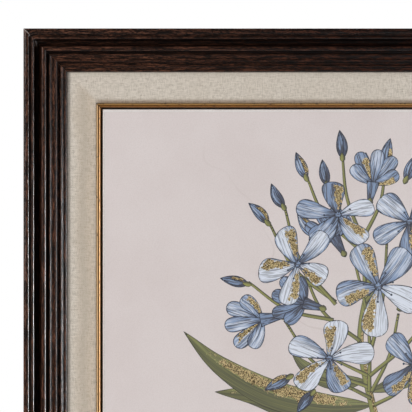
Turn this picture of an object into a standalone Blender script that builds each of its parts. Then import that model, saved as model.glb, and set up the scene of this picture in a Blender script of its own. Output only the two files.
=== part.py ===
"""Framed botanical print: a reeded dark wood moulding, a linen-wrapped liner, a gilt slip, and a print
mounted on a panel that floats inside the slip with a narrow shadow gap.

Metres, +Z up. The front faces -Y and the wall is the plane Y = 0. The origin is the middle notch of
the sawtooth hanger on the wall plane, where the hook goes.
"""

import math

import bmesh
import bpy
from mathutils import Matrix, Vector

MM = 0.001

# Driving sizes of the outside and of the visible bands, in metres
FRAME_WIDTH = 660 * MM
FRAME_HEIGHT = 838 * MM
MOULDING_WIDTH = 38 * MM
LINEN_AT_SIDES = 25.7 * MM
LINEN_AT_TOP_AND_BOTTOM = 27.5 * MM
SLIP_FACE = 3.6 * MM
SHADOW_GAP_LEFT = 1.8 * MM
SHADOW_GAP_RIGHT = 1.4 * MM
SHADOW_GAP_TOP = 1.6 * MM
SHADOW_GAP_BOTTOM = 1.5 * MM

# Pieces that touch keep this much air between their meshes
TOUCH = 0.3 * MM

# Heights above the back of the moulding
BUMPER_THICKNESS = 3 * MM
RABBET_DEPTH = 14 * MM
RABBET_WIDTH = 8 * MM
BACKING_BACK = 1.7 * MM
BACKING_FRONT = 4.7 * MM
PANEL_FACE = 10.9 * MM
SLIP_FLANGE_TOP = 9.1 * MM

# The hanger's notch lies this far under the top edge of the frame
NOTCH_DROP = 22 * MM

TOP = NOTCH_DROP
MIDDLE_Z = TOP - FRAME_HEIGHT / 2
BACK_Y = -BUMPER_THICKNESS
SIGHT_HALF = Vector((FRAME_WIDTH / 2 - MOULDING_WIDTH, FRAME_HEIGHT / 2 - MOULDING_WIDTH))
RABBET_HALF = SIGHT_HALF + Vector((RABBET_WIDTH, RABBET_WIDTH))
WINDOW_HALF = SIGHT_HALF - Vector((LINEN_AT_SIDES, LINEN_AT_TOP_AND_BOTTOM))
SLIP_HALF = WINDOW_HALF - Vector((TOUCH + SLIP_FACE, TOUCH + SLIP_FACE))

# Moulding face from the outer edge to the sight edge, in millimetres: where a run ends across the
# rail, its height there, and how far it swells above or dips below the straight line between its ends
OUTER_WALL_TOP = 18.6
MOULDING_RUNS = (
    (4.75, 19.6, 2.1),
    (7.0, 19.9, -0.8),
    (9.0, 20.2, 1.7),
    (15.5, 22.3, -4.3),
    (19.6, 22.4, 2.9),
    (19.9, 20.3, 0),
    (22.2, 20.1, 0),
    (22.4, 21.1, 0),
    (24.0, 21.6, 1.0),
    (27.9, 21.3, -0.5),
    (29.5, 20.8, 1.1),
    (29.8, 18.1, 0),
    (31.9, 17.9, 0),
    (32.1, 18.4, 0),
    (34.1, 18.1, 1.4),
    (35.9, 17.7, -0.9),
    (38.0, 16.6, 1.3),
)

# Slip face from the linen to the shadow gap, in millimetres above the flange's outer top corner
SLIP_WALL_TOP = 12.3
SLIP_RUNS = (
    (1.1, 12.5, 0.6),
    (1.9, 12.6, -0.2),
    (3.6, 12.0, 0.9),
)
SLIP_FLANGE = 6 * MM

# Linen liner: how it swells beside the moulding's lip and rolls over into the window
LINER_BOTTOM = 5 * MM
LINER_LEDGE = RABBET_DEPTH - TOUCH
LINER_FIELD = 14.9 * MM
LINER_SHOULDER = 2.8 * MM
LINER_ROLL = 3.0 * MM
LINER_ROLL_DROP = 2.4 * MM
LINER_CLEARANCE = 1 * MM
LINER_CHANNEL = SLIP_FLANGE + TOUCH
LINER_CURVE_STEPS = 6

# The panel's front edges are eased, and a narrow margin of it shows round the printed sheet
PANEL_BEVEL = 0.5 * MM
PANEL_BACK = BACKING_FRONT + TOUCH
SHEET_MARGIN = 2.2 * MM
SHEET_THICKNESS = 0.4 * MM
BACKING_CLEARANCE = 2.5 * MM

# Hanger: a toothed bridge that stands off the wood between two screwed tabs
HANGER_LENGTH = 92 * MM
HANGER_TAB = 15 * MM
HANGER_RAMP = 3 * MM
HANGER_RISE = 1.3 * MM
HANGER_STEEL = 1 * MM
HANGER_HEIGHT = 15 * MM
TOOTH_PITCH = 4 * MM
TOOTH_DEPTH = 2.4 * MM
TEETH_EACH_SIDE = 6

# Pan head as shares of its radius and of its depth below the crown
SCREW_HEAD_SHAPE = ((0.55, 0.0), (0.85, 0.25), (1.0, 0.7), (1.0, 1.0))
SCREW_HEAD_RADIUS = 3.7 * MM
SCREW_HEAD_HEIGHT = 1.3 * MM
SCREW_SHANK_RADIUS = 1.6 * MM
SCREW_TIP_RADIUS = 0.5 * MM
SCREW_TIP_LENGTH = 3.2 * MM
SCREW_LENGTH = 11 * MM
ROUND_SIDES = 24

# Bumper as shares of its radius and of its thickness from the wall
BUMPER_SHAPE = ((0.85, 0.0), (0.95, 0.15), (1.0, 0.9))
BUMPER_RADIUS = 6.5 * MM
BUMPER_FROM_CORNER = Vector((24 * MM, 15 * MM))

POINT_WIDTH = 9 * MM
POINT_LENGTH = 15 * MM
POINT_STEEL = 0.6 * MM
POINT_ROUND_STEPS = 8
# Where the points stand along their rail, as shares of half its length
POINTS_ALONG_UPRIGHT = (-0.62, 0.0, 0.62)
POINTS_ALONG_CROSS_RAIL = (-0.45, 0.45)

SMOOTH_ANGLE = math.radians(32)


def clear_scene():
    for old in list(bpy.data.objects):
        bpy.data.objects.remove(old, do_unlink=True)


def finish(name, colour, roughness, metallic=0.0):
    """A plain material for a sub-part."""
    material = bpy.data.materials.new(name)
    material.use_nodes = True
    shader = material.node_tree.nodes["Principled BSDF"]
    shader.inputs["Base Color"].default_value = (*colour, 1)
    shader.inputs["Roughness"].default_value = roughness
    shader.inputs["Metallic"].default_value = metallic
    return material


def add_object(name, shape, material, location=(0, 0, 0), rotation=(0, 0, 0)):
    """Turns a bmesh into a named object, with faces pointing out and round stretches shaded smooth."""
    bmesh.ops.recalc_face_normals(shape, faces=shape.faces)
    mesh = bpy.data.meshes.new(name)
    shape.to_mesh(mesh)
    shape.free()
    mesh.shade_smooth()
    mesh.set_sharp_from_angle(angle=SMOOTH_ANGLE)
    mesh.materials.append(material)
    placed = bpy.data.objects.new(name, mesh)
    placed.location = location
    placed.rotation_euler = rotation
    bpy.context.scene.collection.objects.link(placed)
    return placed


def run_points(start, runs):
    """Points in metres along runs of (across, height, swell) in millimetres. A swelling run is half
    an ellipse laid on the line between its ends."""
    points = [Vector(start) * MM]
    for across, height, swell in runs:
        begin, end = points[-1].copy(), Vector((across, height)) * MM
        steps = max(6, math.ceil(2.2 * (end - begin).length / MM)) if swell else 1
        for step in range(1, steps + 1):
            angle = math.pi * step / steps
            point = begin.lerp(end, (1 - math.cos(angle)) / 2)
            point.y += swell * MM * math.sin(angle) if step < steps else 0
            points.append(point)
    return points


def mitred_rail(name, outline, half_length, material, location, turn):
    """A rail along X whose closed outline, (towards the picture, towards the front), is cut at 45
    degrees at both ends. A turn about Y puts it on its side of the frame."""
    shape = bmesh.new()
    mitre = TOUCH / math.sqrt(2)
    ends = [
        [
            shape.verts.new((side * (half_length - inward - mitre), -forward, -inward))
            for inward, forward in outline
        ]
        for side in (-1, 1)
    ]
    count = len(outline)
    for i in range(count):
        j = (i + 1) % count
        shape.faces.new((ends[0][i], ends[0][j], ends[1][j], ends[1][i]))
    for end in ends:
        shape.faces.new(end)
    return add_object(name, shape, material, location, (0, turn, 0))


def four_rails(stem, outline, half, material):
    """Top, right, bottom and left rail of one mitred rectangle."""
    sides = (
        ("top", (0, half.y), half.x, 0),
        ("right", (half.x, 0), half.y, math.pi / 2),
        ("bottom", (0, -half.y), half.x, math.pi),
        ("left", (-half.x, 0), half.y, -math.pi / 2),
    )
    return {
        side: mitred_rail(
            f"{stem}_{side}", outline, length, material, (x, BACK_Y, MIDDLE_Z + z), turn
        )
        for side, (x, z), length, turn in sides
    }


def ring(name, loops, material):
    """A closed band around the picture. Each loop is (half width, half height, height above the
    back), and the last loop joins the first."""
    shape = bmesh.new()
    rings = [
        [
            shape.verts.new((sx * half_x, BACK_Y - height, MIDDLE_Z + sz * half_z))
            for sx, sz in ((-1, -1), (1, -1), (1, 1), (-1, 1))
        ]
        for half_x, half_z, height in loops
    ]
    for i, lower in enumerate(rings):
        upper = rings[(i + 1) % len(rings)]
        for k in range(4):
            m = (k + 1) % 4
            shape.faces.new((lower[k], lower[m], upper[m], upper[k]))
    return add_object(name, shape, material)


def slab(name, low, high, material, bevel=0.0):
    """A flat board between two corners (x, height above the back, z), with a bevel round its front
    face if asked."""
    shape = bmesh.new()
    levels = [(0.0, low[1]), (0.0, high[1] - bevel)]
    if bevel:
        levels.append((bevel, high[1]))
    layers = [
        [
            shape.verts.new((x, BACK_Y - height, z))
            for x, z in (
                (low[0] + inset, low[2] + inset),
                (high[0] - inset, low[2] + inset),
                (high[0] - inset, high[2] - inset),
                (low[0] + inset, high[2] - inset),
            )
        ]
        for inset, height in levels
    ]
    for lower, upper in zip(layers, layers[1:]):
        for k in range(4):
            m = (k + 1) % 4
            shape.faces.new((lower[k], lower[m], upper[m], upper[k]))
    shape.faces.new(layers[0])
    shape.faces.new(layers[-1])
    return add_object(name, shape, material)


def turned(name, profile, material, location):
    """A round piece about the Y axis through its location, from (radius, distance towards the
    front) points, with a flat end at its first and its last."""
    shape = bmesh.new()
    angles = [2 * math.pi * k / ROUND_SIDES for k in range(ROUND_SIDES)]
    rings = [
        [shape.verts.new((radius * math.cos(a), -forward, radius * math.sin(a))) for a in angles]
        for radius, forward in profile
    ]
    for lower, upper in zip(rings, rings[1:]):
        for k in range(ROUND_SIDES):
            m = (k + 1) % ROUND_SIDES
            shape.faces.new((lower[k], upper[k], upper[m], lower[m]))
    shape.faces.new(rings[0])
    shape.faces.new(rings[-1])
    return add_object(name, shape, material, location)


def cut_round_hole(target, centre, radius, length):
    """Cuts a hole along Y, with a cutter that isn't part of the object."""
    shape = bmesh.new()
    bmesh.ops.create_cone(
        shape,
        cap_ends=True,
        segments=ROUND_SIDES,
        radius1=radius,
        radius2=radius,
        depth=length,
        matrix=Matrix.Rotation(math.pi / 2, 4, "X"),
    )
    cutter = add_object(f"cutter_{target.name}_{centre[0]:.3f}", shape, target.data.materials[0], centre)
    cutter.hide_render = True
    cutter.display_type = "WIRE"
    cut = target.modifiers.new("hole", "BOOLEAN")
    cut.operation = "DIFFERENCE"
    cut.object = cutter
    return cut


def moulding_outline():
    face = run_points((0, OUTER_WALL_TOP), MOULDING_RUNS)
    rabbet_at = MOULDING_WIDTH - RABBET_WIDTH
    back = [(MOULDING_WIDTH, RABBET_DEPTH), (rabbet_at, RABBET_DEPTH), (rabbet_at, 0), (0, 0)]
    return [tuple(p) for p in face] + back


def slip_outline():
    face = [p + Vector((SLIP_FLANGE, 0)) for p in run_points((0, SLIP_WALL_TOP), SLIP_RUNS)]
    flange = [(0, LINER_BOTTOM), (0, SLIP_FLANGE_TOP), (SLIP_FLANGE, SLIP_FLANGE_TOP)]
    inner = SLIP_FLANGE + SLIP_FACE
    return flange + [tuple(p) for p in face] + [(inner, LINER_BOTTOM)]


def linen_loops():
    """Cross-section of the liner from its hidden outer edge, over the face, to the slip's channel."""
    outer = RABBET_HALF - Vector((LINER_CLEARANCE, LINER_CLEARANCE))
    loops = [(outer.x, outer.y, LINER_BOTTOM), (outer.x, outer.y, LINER_LEDGE)]
    for step in range(LINER_CURVE_STEPS + 1):
        share = step / LINER_CURVE_STEPS
        inset = TOUCH + LINER_SHOULDER * share
        rise = (LINER_FIELD - LINER_LEDGE) * math.sin(share * math.pi / 2)
        loops.append((SIGHT_HALF.x - inset, SIGHT_HALF.y - inset, LINER_LEDGE + rise))
    for step in range(LINER_CURVE_STEPS + 1):
        angle = math.pi / 2 * step / LINER_CURVE_STEPS
        inset = LINER_ROLL * (1 - math.sin(angle))
        drop = LINER_ROLL_DROP * (1 - math.cos(angle))
        loops.append((WINDOW_HALF.x + inset, WINDOW_HALF.y + inset, LINER_FIELD - drop))
    channel = SLIP_FLANGE_TOP + TOUCH
    loops.append((WINDOW_HALF.x, WINDOW_HALF.y, channel))
    wide = WINDOW_HALF + Vector((LINER_CHANNEL, LINER_CHANNEL))
    loops.append((wide.x, wide.y, channel))
    loops.append((wide.x, wide.y, LINER_BOTTOM))
    return loops


def build_hanger(material):
    """Toothed bridge with its middle notch at the origin's height. Each tooth is two stations wide."""
    half = HANGER_LENGTH / 2
    bridge = half - HANGER_TAB - HANGER_RAMP
    stations = [(-half, 0.0, 0.0), (-half + HANGER_TAB, 0.0, 0.0), (-bridge, HANGER_RISE, 0.0)]
    for k in range(-2 * TEETH_EACH_SIDE, 2 * TEETH_EACH_SIDE + 1):
        depth = TOOTH_DEPTH if k % 2 else 0.0
        stations.append((k * TOOTH_PITCH / 2, HANGER_RISE, depth))
    stations += [(-x, rise, depth) for x, rise, depth in reversed(stations[:3])]
    shape = bmesh.new()
    sections = []
    for x, rise, tooth in stations:
        near = BACK_Y + TOUCH + rise
        far = near + HANGER_STEEL
        corners = ((near, -tooth), (far, -tooth), (far, HANGER_HEIGHT), (near, HANGER_HEIGHT))
        sections.append([shape.verts.new((x, y, z)) for y, z in corners])
    for a, b in zip(sections, sections[1:]):
        for k in range(4):
            m = (k + 1) % 4
            shape.faces.new((a[k], a[m], b[m], b[k]))
    shape.faces.new(sections[0])
    shape.faces.new(sections[-1])
    return add_object("sawtooth_hanger", shape, material)


def screw_places():
    """Screw centres on the hanger's two tabs, on the wood's back plane."""
    x = HANGER_LENGTH / 2 - HANGER_TAB / 2
    return (("left", (-x, BACK_Y, HANGER_HEIGHT / 2)), ("right", (x, BACK_Y, HANGER_HEIGHT / 2)))


def build_screw(side, place, material):
    """Pan-head screw whose shank runs forwards into the top rail."""
    seat = -(TOUCH + HANGER_STEEL + TOUCH)
    crown = seat - SCREW_HEAD_HEIGHT
    profile = [
        (radius * SCREW_HEAD_RADIUS, crown + depth * SCREW_HEAD_HEIGHT)
        for radius, depth in SCREW_HEAD_SHAPE
    ]
    profile += [
        (SCREW_SHANK_RADIUS, seat),
        (SCREW_SHANK_RADIUS, SCREW_LENGTH - SCREW_TIP_LENGTH),
        (SCREW_TIP_RADIUS, SCREW_LENGTH),
    ]
    return turned(f"hanger_screw_{side}", profile, material, place)


def build_bumper(side, sign, material):
    """Soft foot between the bottom rail and the wall."""
    inner, outer = BUMPER_FROM_CORNER
    place = (sign * (FRAME_WIDTH / 2 - inner), 0, TOP - FRAME_HEIGHT + outer)
    profile = [
        (radius * BUMPER_RADIUS, depth * BUMPER_THICKNESS) for radius, depth in BUMPER_SHAPE
    ]
    return turned(f"bumper_{side}", profile, material, place)


def point_spots():
    """Name, place (x, z) on the rabbet's wall and turn about Y of each retaining point."""
    wall = RABBET_HALF - Vector((TOUCH, TOUCH))
    spots = []
    for side, sign in (("left", -1), ("right", 1)):
        for k, share in enumerate(POINTS_ALONG_UPRIGHT, 1):
            spots.append((f"{side}_{k}", (sign * wall.x, share * wall.y), -sign * math.pi / 2))
    for side, sign, turn in (("bottom", -1, 0), ("top", 1, math.pi)):
        for k, share in enumerate(POINTS_ALONG_CROSS_RAIL, 1):
            spots.append((f"{side}_{k}", (share * wall.x, sign * wall.y), turn))
    return spots


def build_points(material):
    """Flat steel points that stand out of the rabbet's walls and hold the backing board in."""
    radius = POINT_WIDTH / 2
    front = BACKING_BACK - TOUCH
    outline = [(-radius, 0.0), (radius, 0.0)]
    for step in range(POINT_ROUND_STEPS + 1):
        angle = math.pi * step / POINT_ROUND_STEPS
        outline.append((radius * math.cos(angle), POINT_LENGTH - radius + radius * math.sin(angle)))
    for spot, (x, z), turn in point_spots():
        shape = bmesh.new()
        face = shape.faces.new([shape.verts.new((px, -front, pz)) for px, pz in outline])
        made = bmesh.ops.extrude_face_region(shape, geom=[face])
        moved = [item for item in made["geom"] if isinstance(item, bmesh.types.BMVert)]
        bmesh.ops.translate(shape, verts=moved, vec=(0, POINT_STEEL, 0))
        place = (x, BACK_Y, MIDDLE_Z + z)
        add_object(f"retaining_point_{spot}", shape, material, place, (0, turn, 0))


def build():
    clear_scene()
    wood = finish("dark_wood", (0.045, 0.024, 0.016), 0.42)
    linen = finish("linen", (0.60, 0.55, 0.48), 0.9)
    gilt = finish("gilt", (0.56, 0.36, 0.13), 0.38, 0.8)
    mount_card = finish("mount_card", (0.72, 0.69, 0.67), 0.8)
    paper = finish("print_paper", (0.66, 0.60, 0.59), 0.7)
    board = finish("hardboard", (0.20, 0.12, 0.07), 0.8)
    steel = finish("zinc_steel", (0.62, 0.60, 0.56), 0.35, 1.0)
    rubber = finish("bumper_rubber", (0.05, 0.05, 0.05), 0.8)

    moulding = four_rails("moulding", moulding_outline(), Vector((FRAME_WIDTH, FRAME_HEIGHT)) / 2, wood)
    ring("linen_liner", linen_loops(), linen)
    slip_outer = WINDOW_HALF + Vector((SLIP_FLANGE - TOUCH, SLIP_FLANGE - TOUCH))
    four_rails("gilt_slip", slip_outline(), slip_outer, gilt)

    left, right = -SLIP_HALF.x + SHADOW_GAP_LEFT, SLIP_HALF.x - SHADOW_GAP_RIGHT
    low, high = MIDDLE_Z - SLIP_HALF.y + SHADOW_GAP_BOTTOM, MIDDLE_Z + SLIP_HALF.y - SHADOW_GAP_TOP
    slab("print_panel", (left, PANEL_BACK, low), (right, PANEL_FACE, high), mount_card, PANEL_BEVEL)
    slab(
        "print_sheet",
        (left + SHEET_MARGIN, PANEL_FACE + TOUCH, low + SHEET_MARGIN),
        (right - SHEET_MARGIN, PANEL_FACE + TOUCH + SHEET_THICKNESS, high - SHEET_MARGIN),
        paper,
    )
    board_half = RABBET_HALF - Vector((BACKING_CLEARANCE, BACKING_CLEARANCE))
    slab(
        "backing_board",
        (-board_half.x, BACKING_BACK, MIDDLE_Z - board_half.y),
        (board_half.x, BACKING_FRONT, MIDDLE_Z + board_half.y),
        board,
    )
    build_points(steel)

    hanger = build_hanger(steel)
    for side, place in screw_places():
        build_screw(side, place, steel)
        hole = SCREW_SHANK_RADIUS + TOUCH
        cut_round_hole(hanger, place, hole, 4 * (HANGER_STEEL + TOUCH))
        cut_round_hole(moulding["top"], place, hole, 2 * (SCREW_LENGTH + TOUCH))
    for side, sign in (("left", -1), ("right", 1)):
        build_bumper(side, sign, rubber)


build()
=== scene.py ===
"""Dresses a framed botanical print: reeded dark wood moulding, linen-covered liner, rubbed gilt
slip, and a printed sheet of blue and white blossom picked out with gold flakes.

Metres, +Z up, the picture faces -Y. The solid model gives every place and outer size. Names of
rails and pieces follow the solid model's nodes.
"""

import functools
import math
import random
from collections import namedtuple

import bpy
import numpy as np
from bpy.props import FloatProperty, FloatVectorProperty, IntProperty, PointerProperty
from mathutils import Matrix, Vector, geometry, noise


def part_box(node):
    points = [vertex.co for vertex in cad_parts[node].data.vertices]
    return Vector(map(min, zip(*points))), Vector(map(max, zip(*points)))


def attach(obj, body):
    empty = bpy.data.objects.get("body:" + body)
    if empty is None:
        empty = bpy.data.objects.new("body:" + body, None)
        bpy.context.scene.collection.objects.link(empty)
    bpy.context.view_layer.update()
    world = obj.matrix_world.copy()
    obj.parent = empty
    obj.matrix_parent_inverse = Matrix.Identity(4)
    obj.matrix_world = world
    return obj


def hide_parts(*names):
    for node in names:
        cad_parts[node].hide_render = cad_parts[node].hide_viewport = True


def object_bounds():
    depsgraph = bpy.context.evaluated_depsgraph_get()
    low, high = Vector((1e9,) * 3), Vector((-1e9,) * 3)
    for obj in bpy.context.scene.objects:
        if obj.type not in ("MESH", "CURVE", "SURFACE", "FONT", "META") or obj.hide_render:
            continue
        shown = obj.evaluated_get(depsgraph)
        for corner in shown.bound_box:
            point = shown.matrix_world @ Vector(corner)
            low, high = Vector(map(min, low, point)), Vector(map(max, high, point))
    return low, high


bl_info = {
    "name": "Framed Botanical Print",
    "version": (1, 0, 0),
    "blender": (4, 5, 0),
    "location": "3D View > Sidebar > Framed Print",
    "description": "Builds a reeded wood frame with liner, gilt slip and a printed blossom spray",
    "category": "Add Mesh",
}

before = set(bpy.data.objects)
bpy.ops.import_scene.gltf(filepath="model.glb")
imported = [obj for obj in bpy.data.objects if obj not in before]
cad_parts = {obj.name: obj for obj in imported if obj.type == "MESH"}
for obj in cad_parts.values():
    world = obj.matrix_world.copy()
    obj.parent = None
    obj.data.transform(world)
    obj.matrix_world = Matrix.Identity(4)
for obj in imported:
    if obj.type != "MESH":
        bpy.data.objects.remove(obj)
CAD_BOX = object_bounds()

MM = 0.001
BODY = "root"

# The upright rail gives the frame's left edge, and the level one its top and the plane of its back
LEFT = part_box("moulding_left")[0].x
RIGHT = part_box("moulding_right")[1].x
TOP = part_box("moulding_top")[1].z
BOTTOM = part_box("moulding_bottom")[0].z
BACK_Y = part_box("moulding_top")[1].y
CENTRE = Vector(((LEFT + RIGHT) / 2, BACK_Y, (TOP + BOTTOM) / 2))
OUTER_HALF = Vector(((RIGHT - LEFT) / 2, (TOP - BOTTOM) / 2))

# Lengths among the constants below are in millimetres, unless a comment says otherwise.

# Moulding face from the outer edge to the sight edge: where a run ends across the rail, its height
# there, and how far it swells above or dips below the line between its ends
MOULDING_WALL_TOP = 18.6
MOULDING_RUNS = (
    (4.95, 19.8, 1.8),
    (7.5, 20.0, -0.9),
    (9.7, 20.2, 1.7),
    (16.6, 22.9, -5.0),
    (20.6, 23.2, 2.0),
    (20.8, 20.3, 0),
    (22.8, 20.1, 0),
    (23.0, 21.1, 0),
    (24.4, 21.6, 1.0),
    (28.1, 21.3, -0.5),
    (29.7, 20.8, 0.4),
    (29.9, 18.1, 0),
    (32.5, 17.9, 0),
    (32.7, 18.4, 0),
    (34.2, 18.1, 1.4),
    (36.1, 17.6, -0.6),
    (38.0, 16.9, 0.3),
)
RABBET_DEPTH = 14.0
RABBET_WIDTH = 8.0

SLIP_BOTTOM = 5.0
SLIP_FLANGE_TOP = 9.1
SLIP_FLANGE = 6.0
SLIP_WALL_TOP = 12.3
SLIP_RUNS = (
    (1.3, 12.7, 0.9),
    (1.9, 12.5, -0.06),
    (3.2, 12.1, 0.7),
    (3.5, 11.5, 0),
)

LINER_BOTTOM = 5.0
LINER_LEDGE = 13.7
LINER_FIELD = 14.7
LINER_BROW = 14.3
LINER_SHOULDER = 0.6
LINER_CHANNEL = 6.3
CLOTH_GRID = (600.0, 778.0)
CORNER_STEPS = 4

# Cloth of the liner: distance between its points, and the roundness of its corners at the outer
# edge, over the field and at the window
CLOTH_SPACING = 7.0
CORNER_OUTER = 0.5
CORNER_FIELD = 0.6
CORNER_WINDOW = 0.8
SHOULDER_STEPS = 8
FIELD_STEPS = 12
ROLL_STEPS = 8
CLOTH_SWELL = 0.16
CLOTH_SWELLS_PER_MM = 0.021
# Across a mitre line, how far level and upright bands blend
BAND_BLEND = 6

# Pan-head screws: the head, its crown and rim, the recess, the shank and its threads
SCREW_HEAD = 1.3
SCREW_CROWN = 0.96
SCREW_CROWN_DROP = 0.25
SCREW_RIM_DROP = 0.5
CROWN_STEPS = 18
RECESS_REACH = 0.62
RECESS_WIDTH = 0.14
RECESS_FLOOR = 0.6
SCREW_SHANK = 1.6
SCREW_POINT = 2.4
SCREW_TIP = 0.3
THREADS = 14
THREAD_ROOT = 0.72
THREAD_DROP = 0.22
SCREW_SIDES = 48

# Air between pieces that touch, and between the rails of a mitre
TOUCH = 0.3
MITRE_GAP = 0.05

# Rails: points of an outline in one millimetre of a curved run and of a straight one, the distance
# between cross sections, how deep a hollow is fully sheltered, how sheltered the hidden faces are,
# and how far a point stands proud of its neighbours on a full ridge
CURVED_POINTS_PER_MM = 6.0
STRAIGHT_POINTS_PER_MM = 2.8
MOULDING_SPACING = 6.0
MOULDING_DEEP = 5.5
SLIP_SPACING = 2.5
SLIP_DEEP = 2.0
HIDDEN_SHELTER = 0.35
RIDGE_REACH = 3
FULL_RIDGE = 0.45
# Waves of a hand-finished face in one millimetre, along the rail and across it
WANDER_ALONG = 0.035
WANDER_ACROSS = 0.4
# Shifts the grain from one rail to the next
GRAIN_SHIFT = 997
SMOOTH_ANGLE = math.radians(40)
CLOTH_SMOOTH_ANGLE = math.radians(50)

# From a mitre: where painted shade begins to darken a level rail and where it is full,
# and the edges of the joint's own line
SHADE_BEYOND_MITRE = (30.0, 320.0)
JOINT_LINE = (0.25, 0.75)

# Print: distance between points inside a shape as a share of that on its outline, the half widths
# above which a shape has one and three lanes of such points, the least half width, how close
# points of different shapes merge, and the margin of the sheet's map as a share of the map
INNER_SPACING = 1.6
ONE_LANE = 1.2
THREE_LANES = 3
LEAST_HALF_WIDTH = 0.05
CUT_TOLERANCE = 0.004
MAP_MARGIN = 0.002

# Slip faces that look at the print, larger than this in square metres, have the painted wall
WALL_FACING = 0.8
WALL_AREA = 1e-7

# Floor, in metres: how far it reaches to the sides and in front, how far it reaches behind, and how
# far below the frame it lies
FLOOR_REACH = 1.1
FLOOR_BEHIND = 0.9
FLOOR_DROP = 0.0005
WHITE, COOL, COLD = (1, 1, 1), (0.97, 0.985, 1.0), (0.92, 0.965, 1.0)
# Name, place, aim, width and height in metres, power, colour, lights surfaces, shows in reflections
LIGHTS = (
    ("left_soft", (-2.3, -1.75, 0.1), (-0.1, 0, -0.3), (0.8, 2.0), 71, WHITE, True, False),
    ("right_soft", (2.5, -1.7, 0.1), (-0.1, 0, -0.3), (0.6, 1.6), 48.5, COOL, True, False),
    ("right_glint", (2.6, -1.45, -0.9), (-0.15, 0, -0.3), (0.6, 1.8), 350, COLD, False, True),
    ("left_glint", (-1.5, -0.95, 0.1), (-0.3, 0, -0.05), (0.3, 0.8), 1.6, WHITE, False, True),
    ("back_soft", (0.6, 1.9, 0.7), (0, 0, -0.4), (1.6, 1.2), 26, WHITE, True, True),
)


# Shader building

def add_node(tree, kind, values=None, **settings):
    """Adds a node, with its own settings and with values or links for its inputs."""
    made = tree.nodes.new(kind)
    for key, value in settings.items():
        setattr(made, key, value)
    for key, value in (values or {}).items():
        if isinstance(value, bpy.types.NodeSocket):
            tree.links.new(value, made.inputs[key])
        else:
            made.inputs[key].default_value = value
    return made


def calc(tree, operation, first, second=0.0):
    """One arithmetic step on numbers or sockets."""
    return add_node(tree, "ShaderNodeMath", {0: first, 1: second}, operation=operation).outputs[0]


def plus(tree, first, second):
    return calc(tree, "ADD", first, second)


def minus(tree, first, second):
    return calc(tree, "SUBTRACT", first, second)


def times(tree, first, second):
    return calc(tree, "MULTIPLY", first, second)


def size_of(tree, value):
    return calc(tree, "ABSOLUTE", value)


def vector_calc(tree, operation, first, second):
    """One arithmetic step on vectors."""
    values = {0: first, 1: second}
    return add_node(tree, "ShaderNodeVectorMath", values, operation=operation).outputs[0]


def ramp(tree, value, low, high, to_low=0.0, to_high=1.0):
    """Smooth step of a value from low to high."""
    values = {"Value": value, "From Min": low, "From Max": high}
    values |= {"To Min": to_low, "To Max": to_high}
    made = add_node(tree, "ShaderNodeMapRange", values, interpolation_type="SMOOTHSTEP")
    return made.outputs["Result"]


def colour(value):
    return (*value, 1.0) if len(value) == 3 else tuple(value)


def tint(tree, factor, first, second, mode="MIX"):
    """Blends two colours, given as numbers or sockets."""
    made = add_node(tree, "ShaderNodeMix", data_type="RGBA", blend_type=mode)
    for index, value in ((0, factor), (6, first), (7, second)):
        if isinstance(value, bpy.types.NodeSocket):
            tree.links.new(value, made.inputs[index])
        else:
            made.inputs[index].default_value = value if index == 0 else colour(value)
    return made.outputs[2]


def fractal(tree, vector, scale, detail=3.0, roughness=0.55):
    """Cloudy noise between 0 and 1."""
    values = {"Vector": vector, "Scale": scale, "Detail": detail, "Roughness": roughness}
    return add_node(tree, "ShaderNodeTexNoise", values).outputs[0]


def stretch(tree, vector, amounts):
    return vector_calc(tree, "MULTIPLY", vector, amounts)


def join(tree, x, y, z=0.0):
    return add_node(tree, "ShaderNodeCombineXYZ", {0: x, 1: y, 2: z}).outputs[0]


def split(tree, vector):
    return add_node(tree, "ShaderNodeSeparateXYZ", {0: vector}).outputs


def read_map(tree, name):
    return add_node(tree, "ShaderNodeUVMap", uv_map=name).outputs[0]


def read_number(tree, name):
    return add_node(tree, "ShaderNodeAttribute", attribute_name=name).outputs["Fac"]


def read_vector(tree, name):
    return add_node(tree, "ShaderNodeAttribute", attribute_name=name).outputs["Vector"]


def place(tree):
    """Where a point of the surface is on its piece, in metres."""
    return add_node(tree, "ShaderNodeTexCoord").outputs["Object"]


def group_shell(name, inputs, outputs):
    """An empty node group with named sockets. Returns it, its given sockets and its output node."""
    tree = bpy.data.node_groups.new(name, "ShaderNodeTree")
    for socket, kind, value in inputs:
        made = tree.interface.new_socket(socket, in_out="INPUT", socket_type=kind)
        if value is not None:
            made.default_value = value
    for socket, kind in outputs:
        tree.interface.new_socket(socket, in_out="OUTPUT", socket_type=kind)
    given = tree.nodes.new("NodeGroupInput").outputs
    return tree, given, tree.nodes.new("NodeGroupOutput")


def feed(tree, node, **sockets):
    """Links each socket to the input of its name."""
    for key, value in sockets.items():
        tree.links.new(value, node.inputs[key.replace("_", " ")])


NUMBER = "NodeSocketFloat"
VECTOR = "NodeSocketVector"
COLOUR = "NodeSocketColor"


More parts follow.
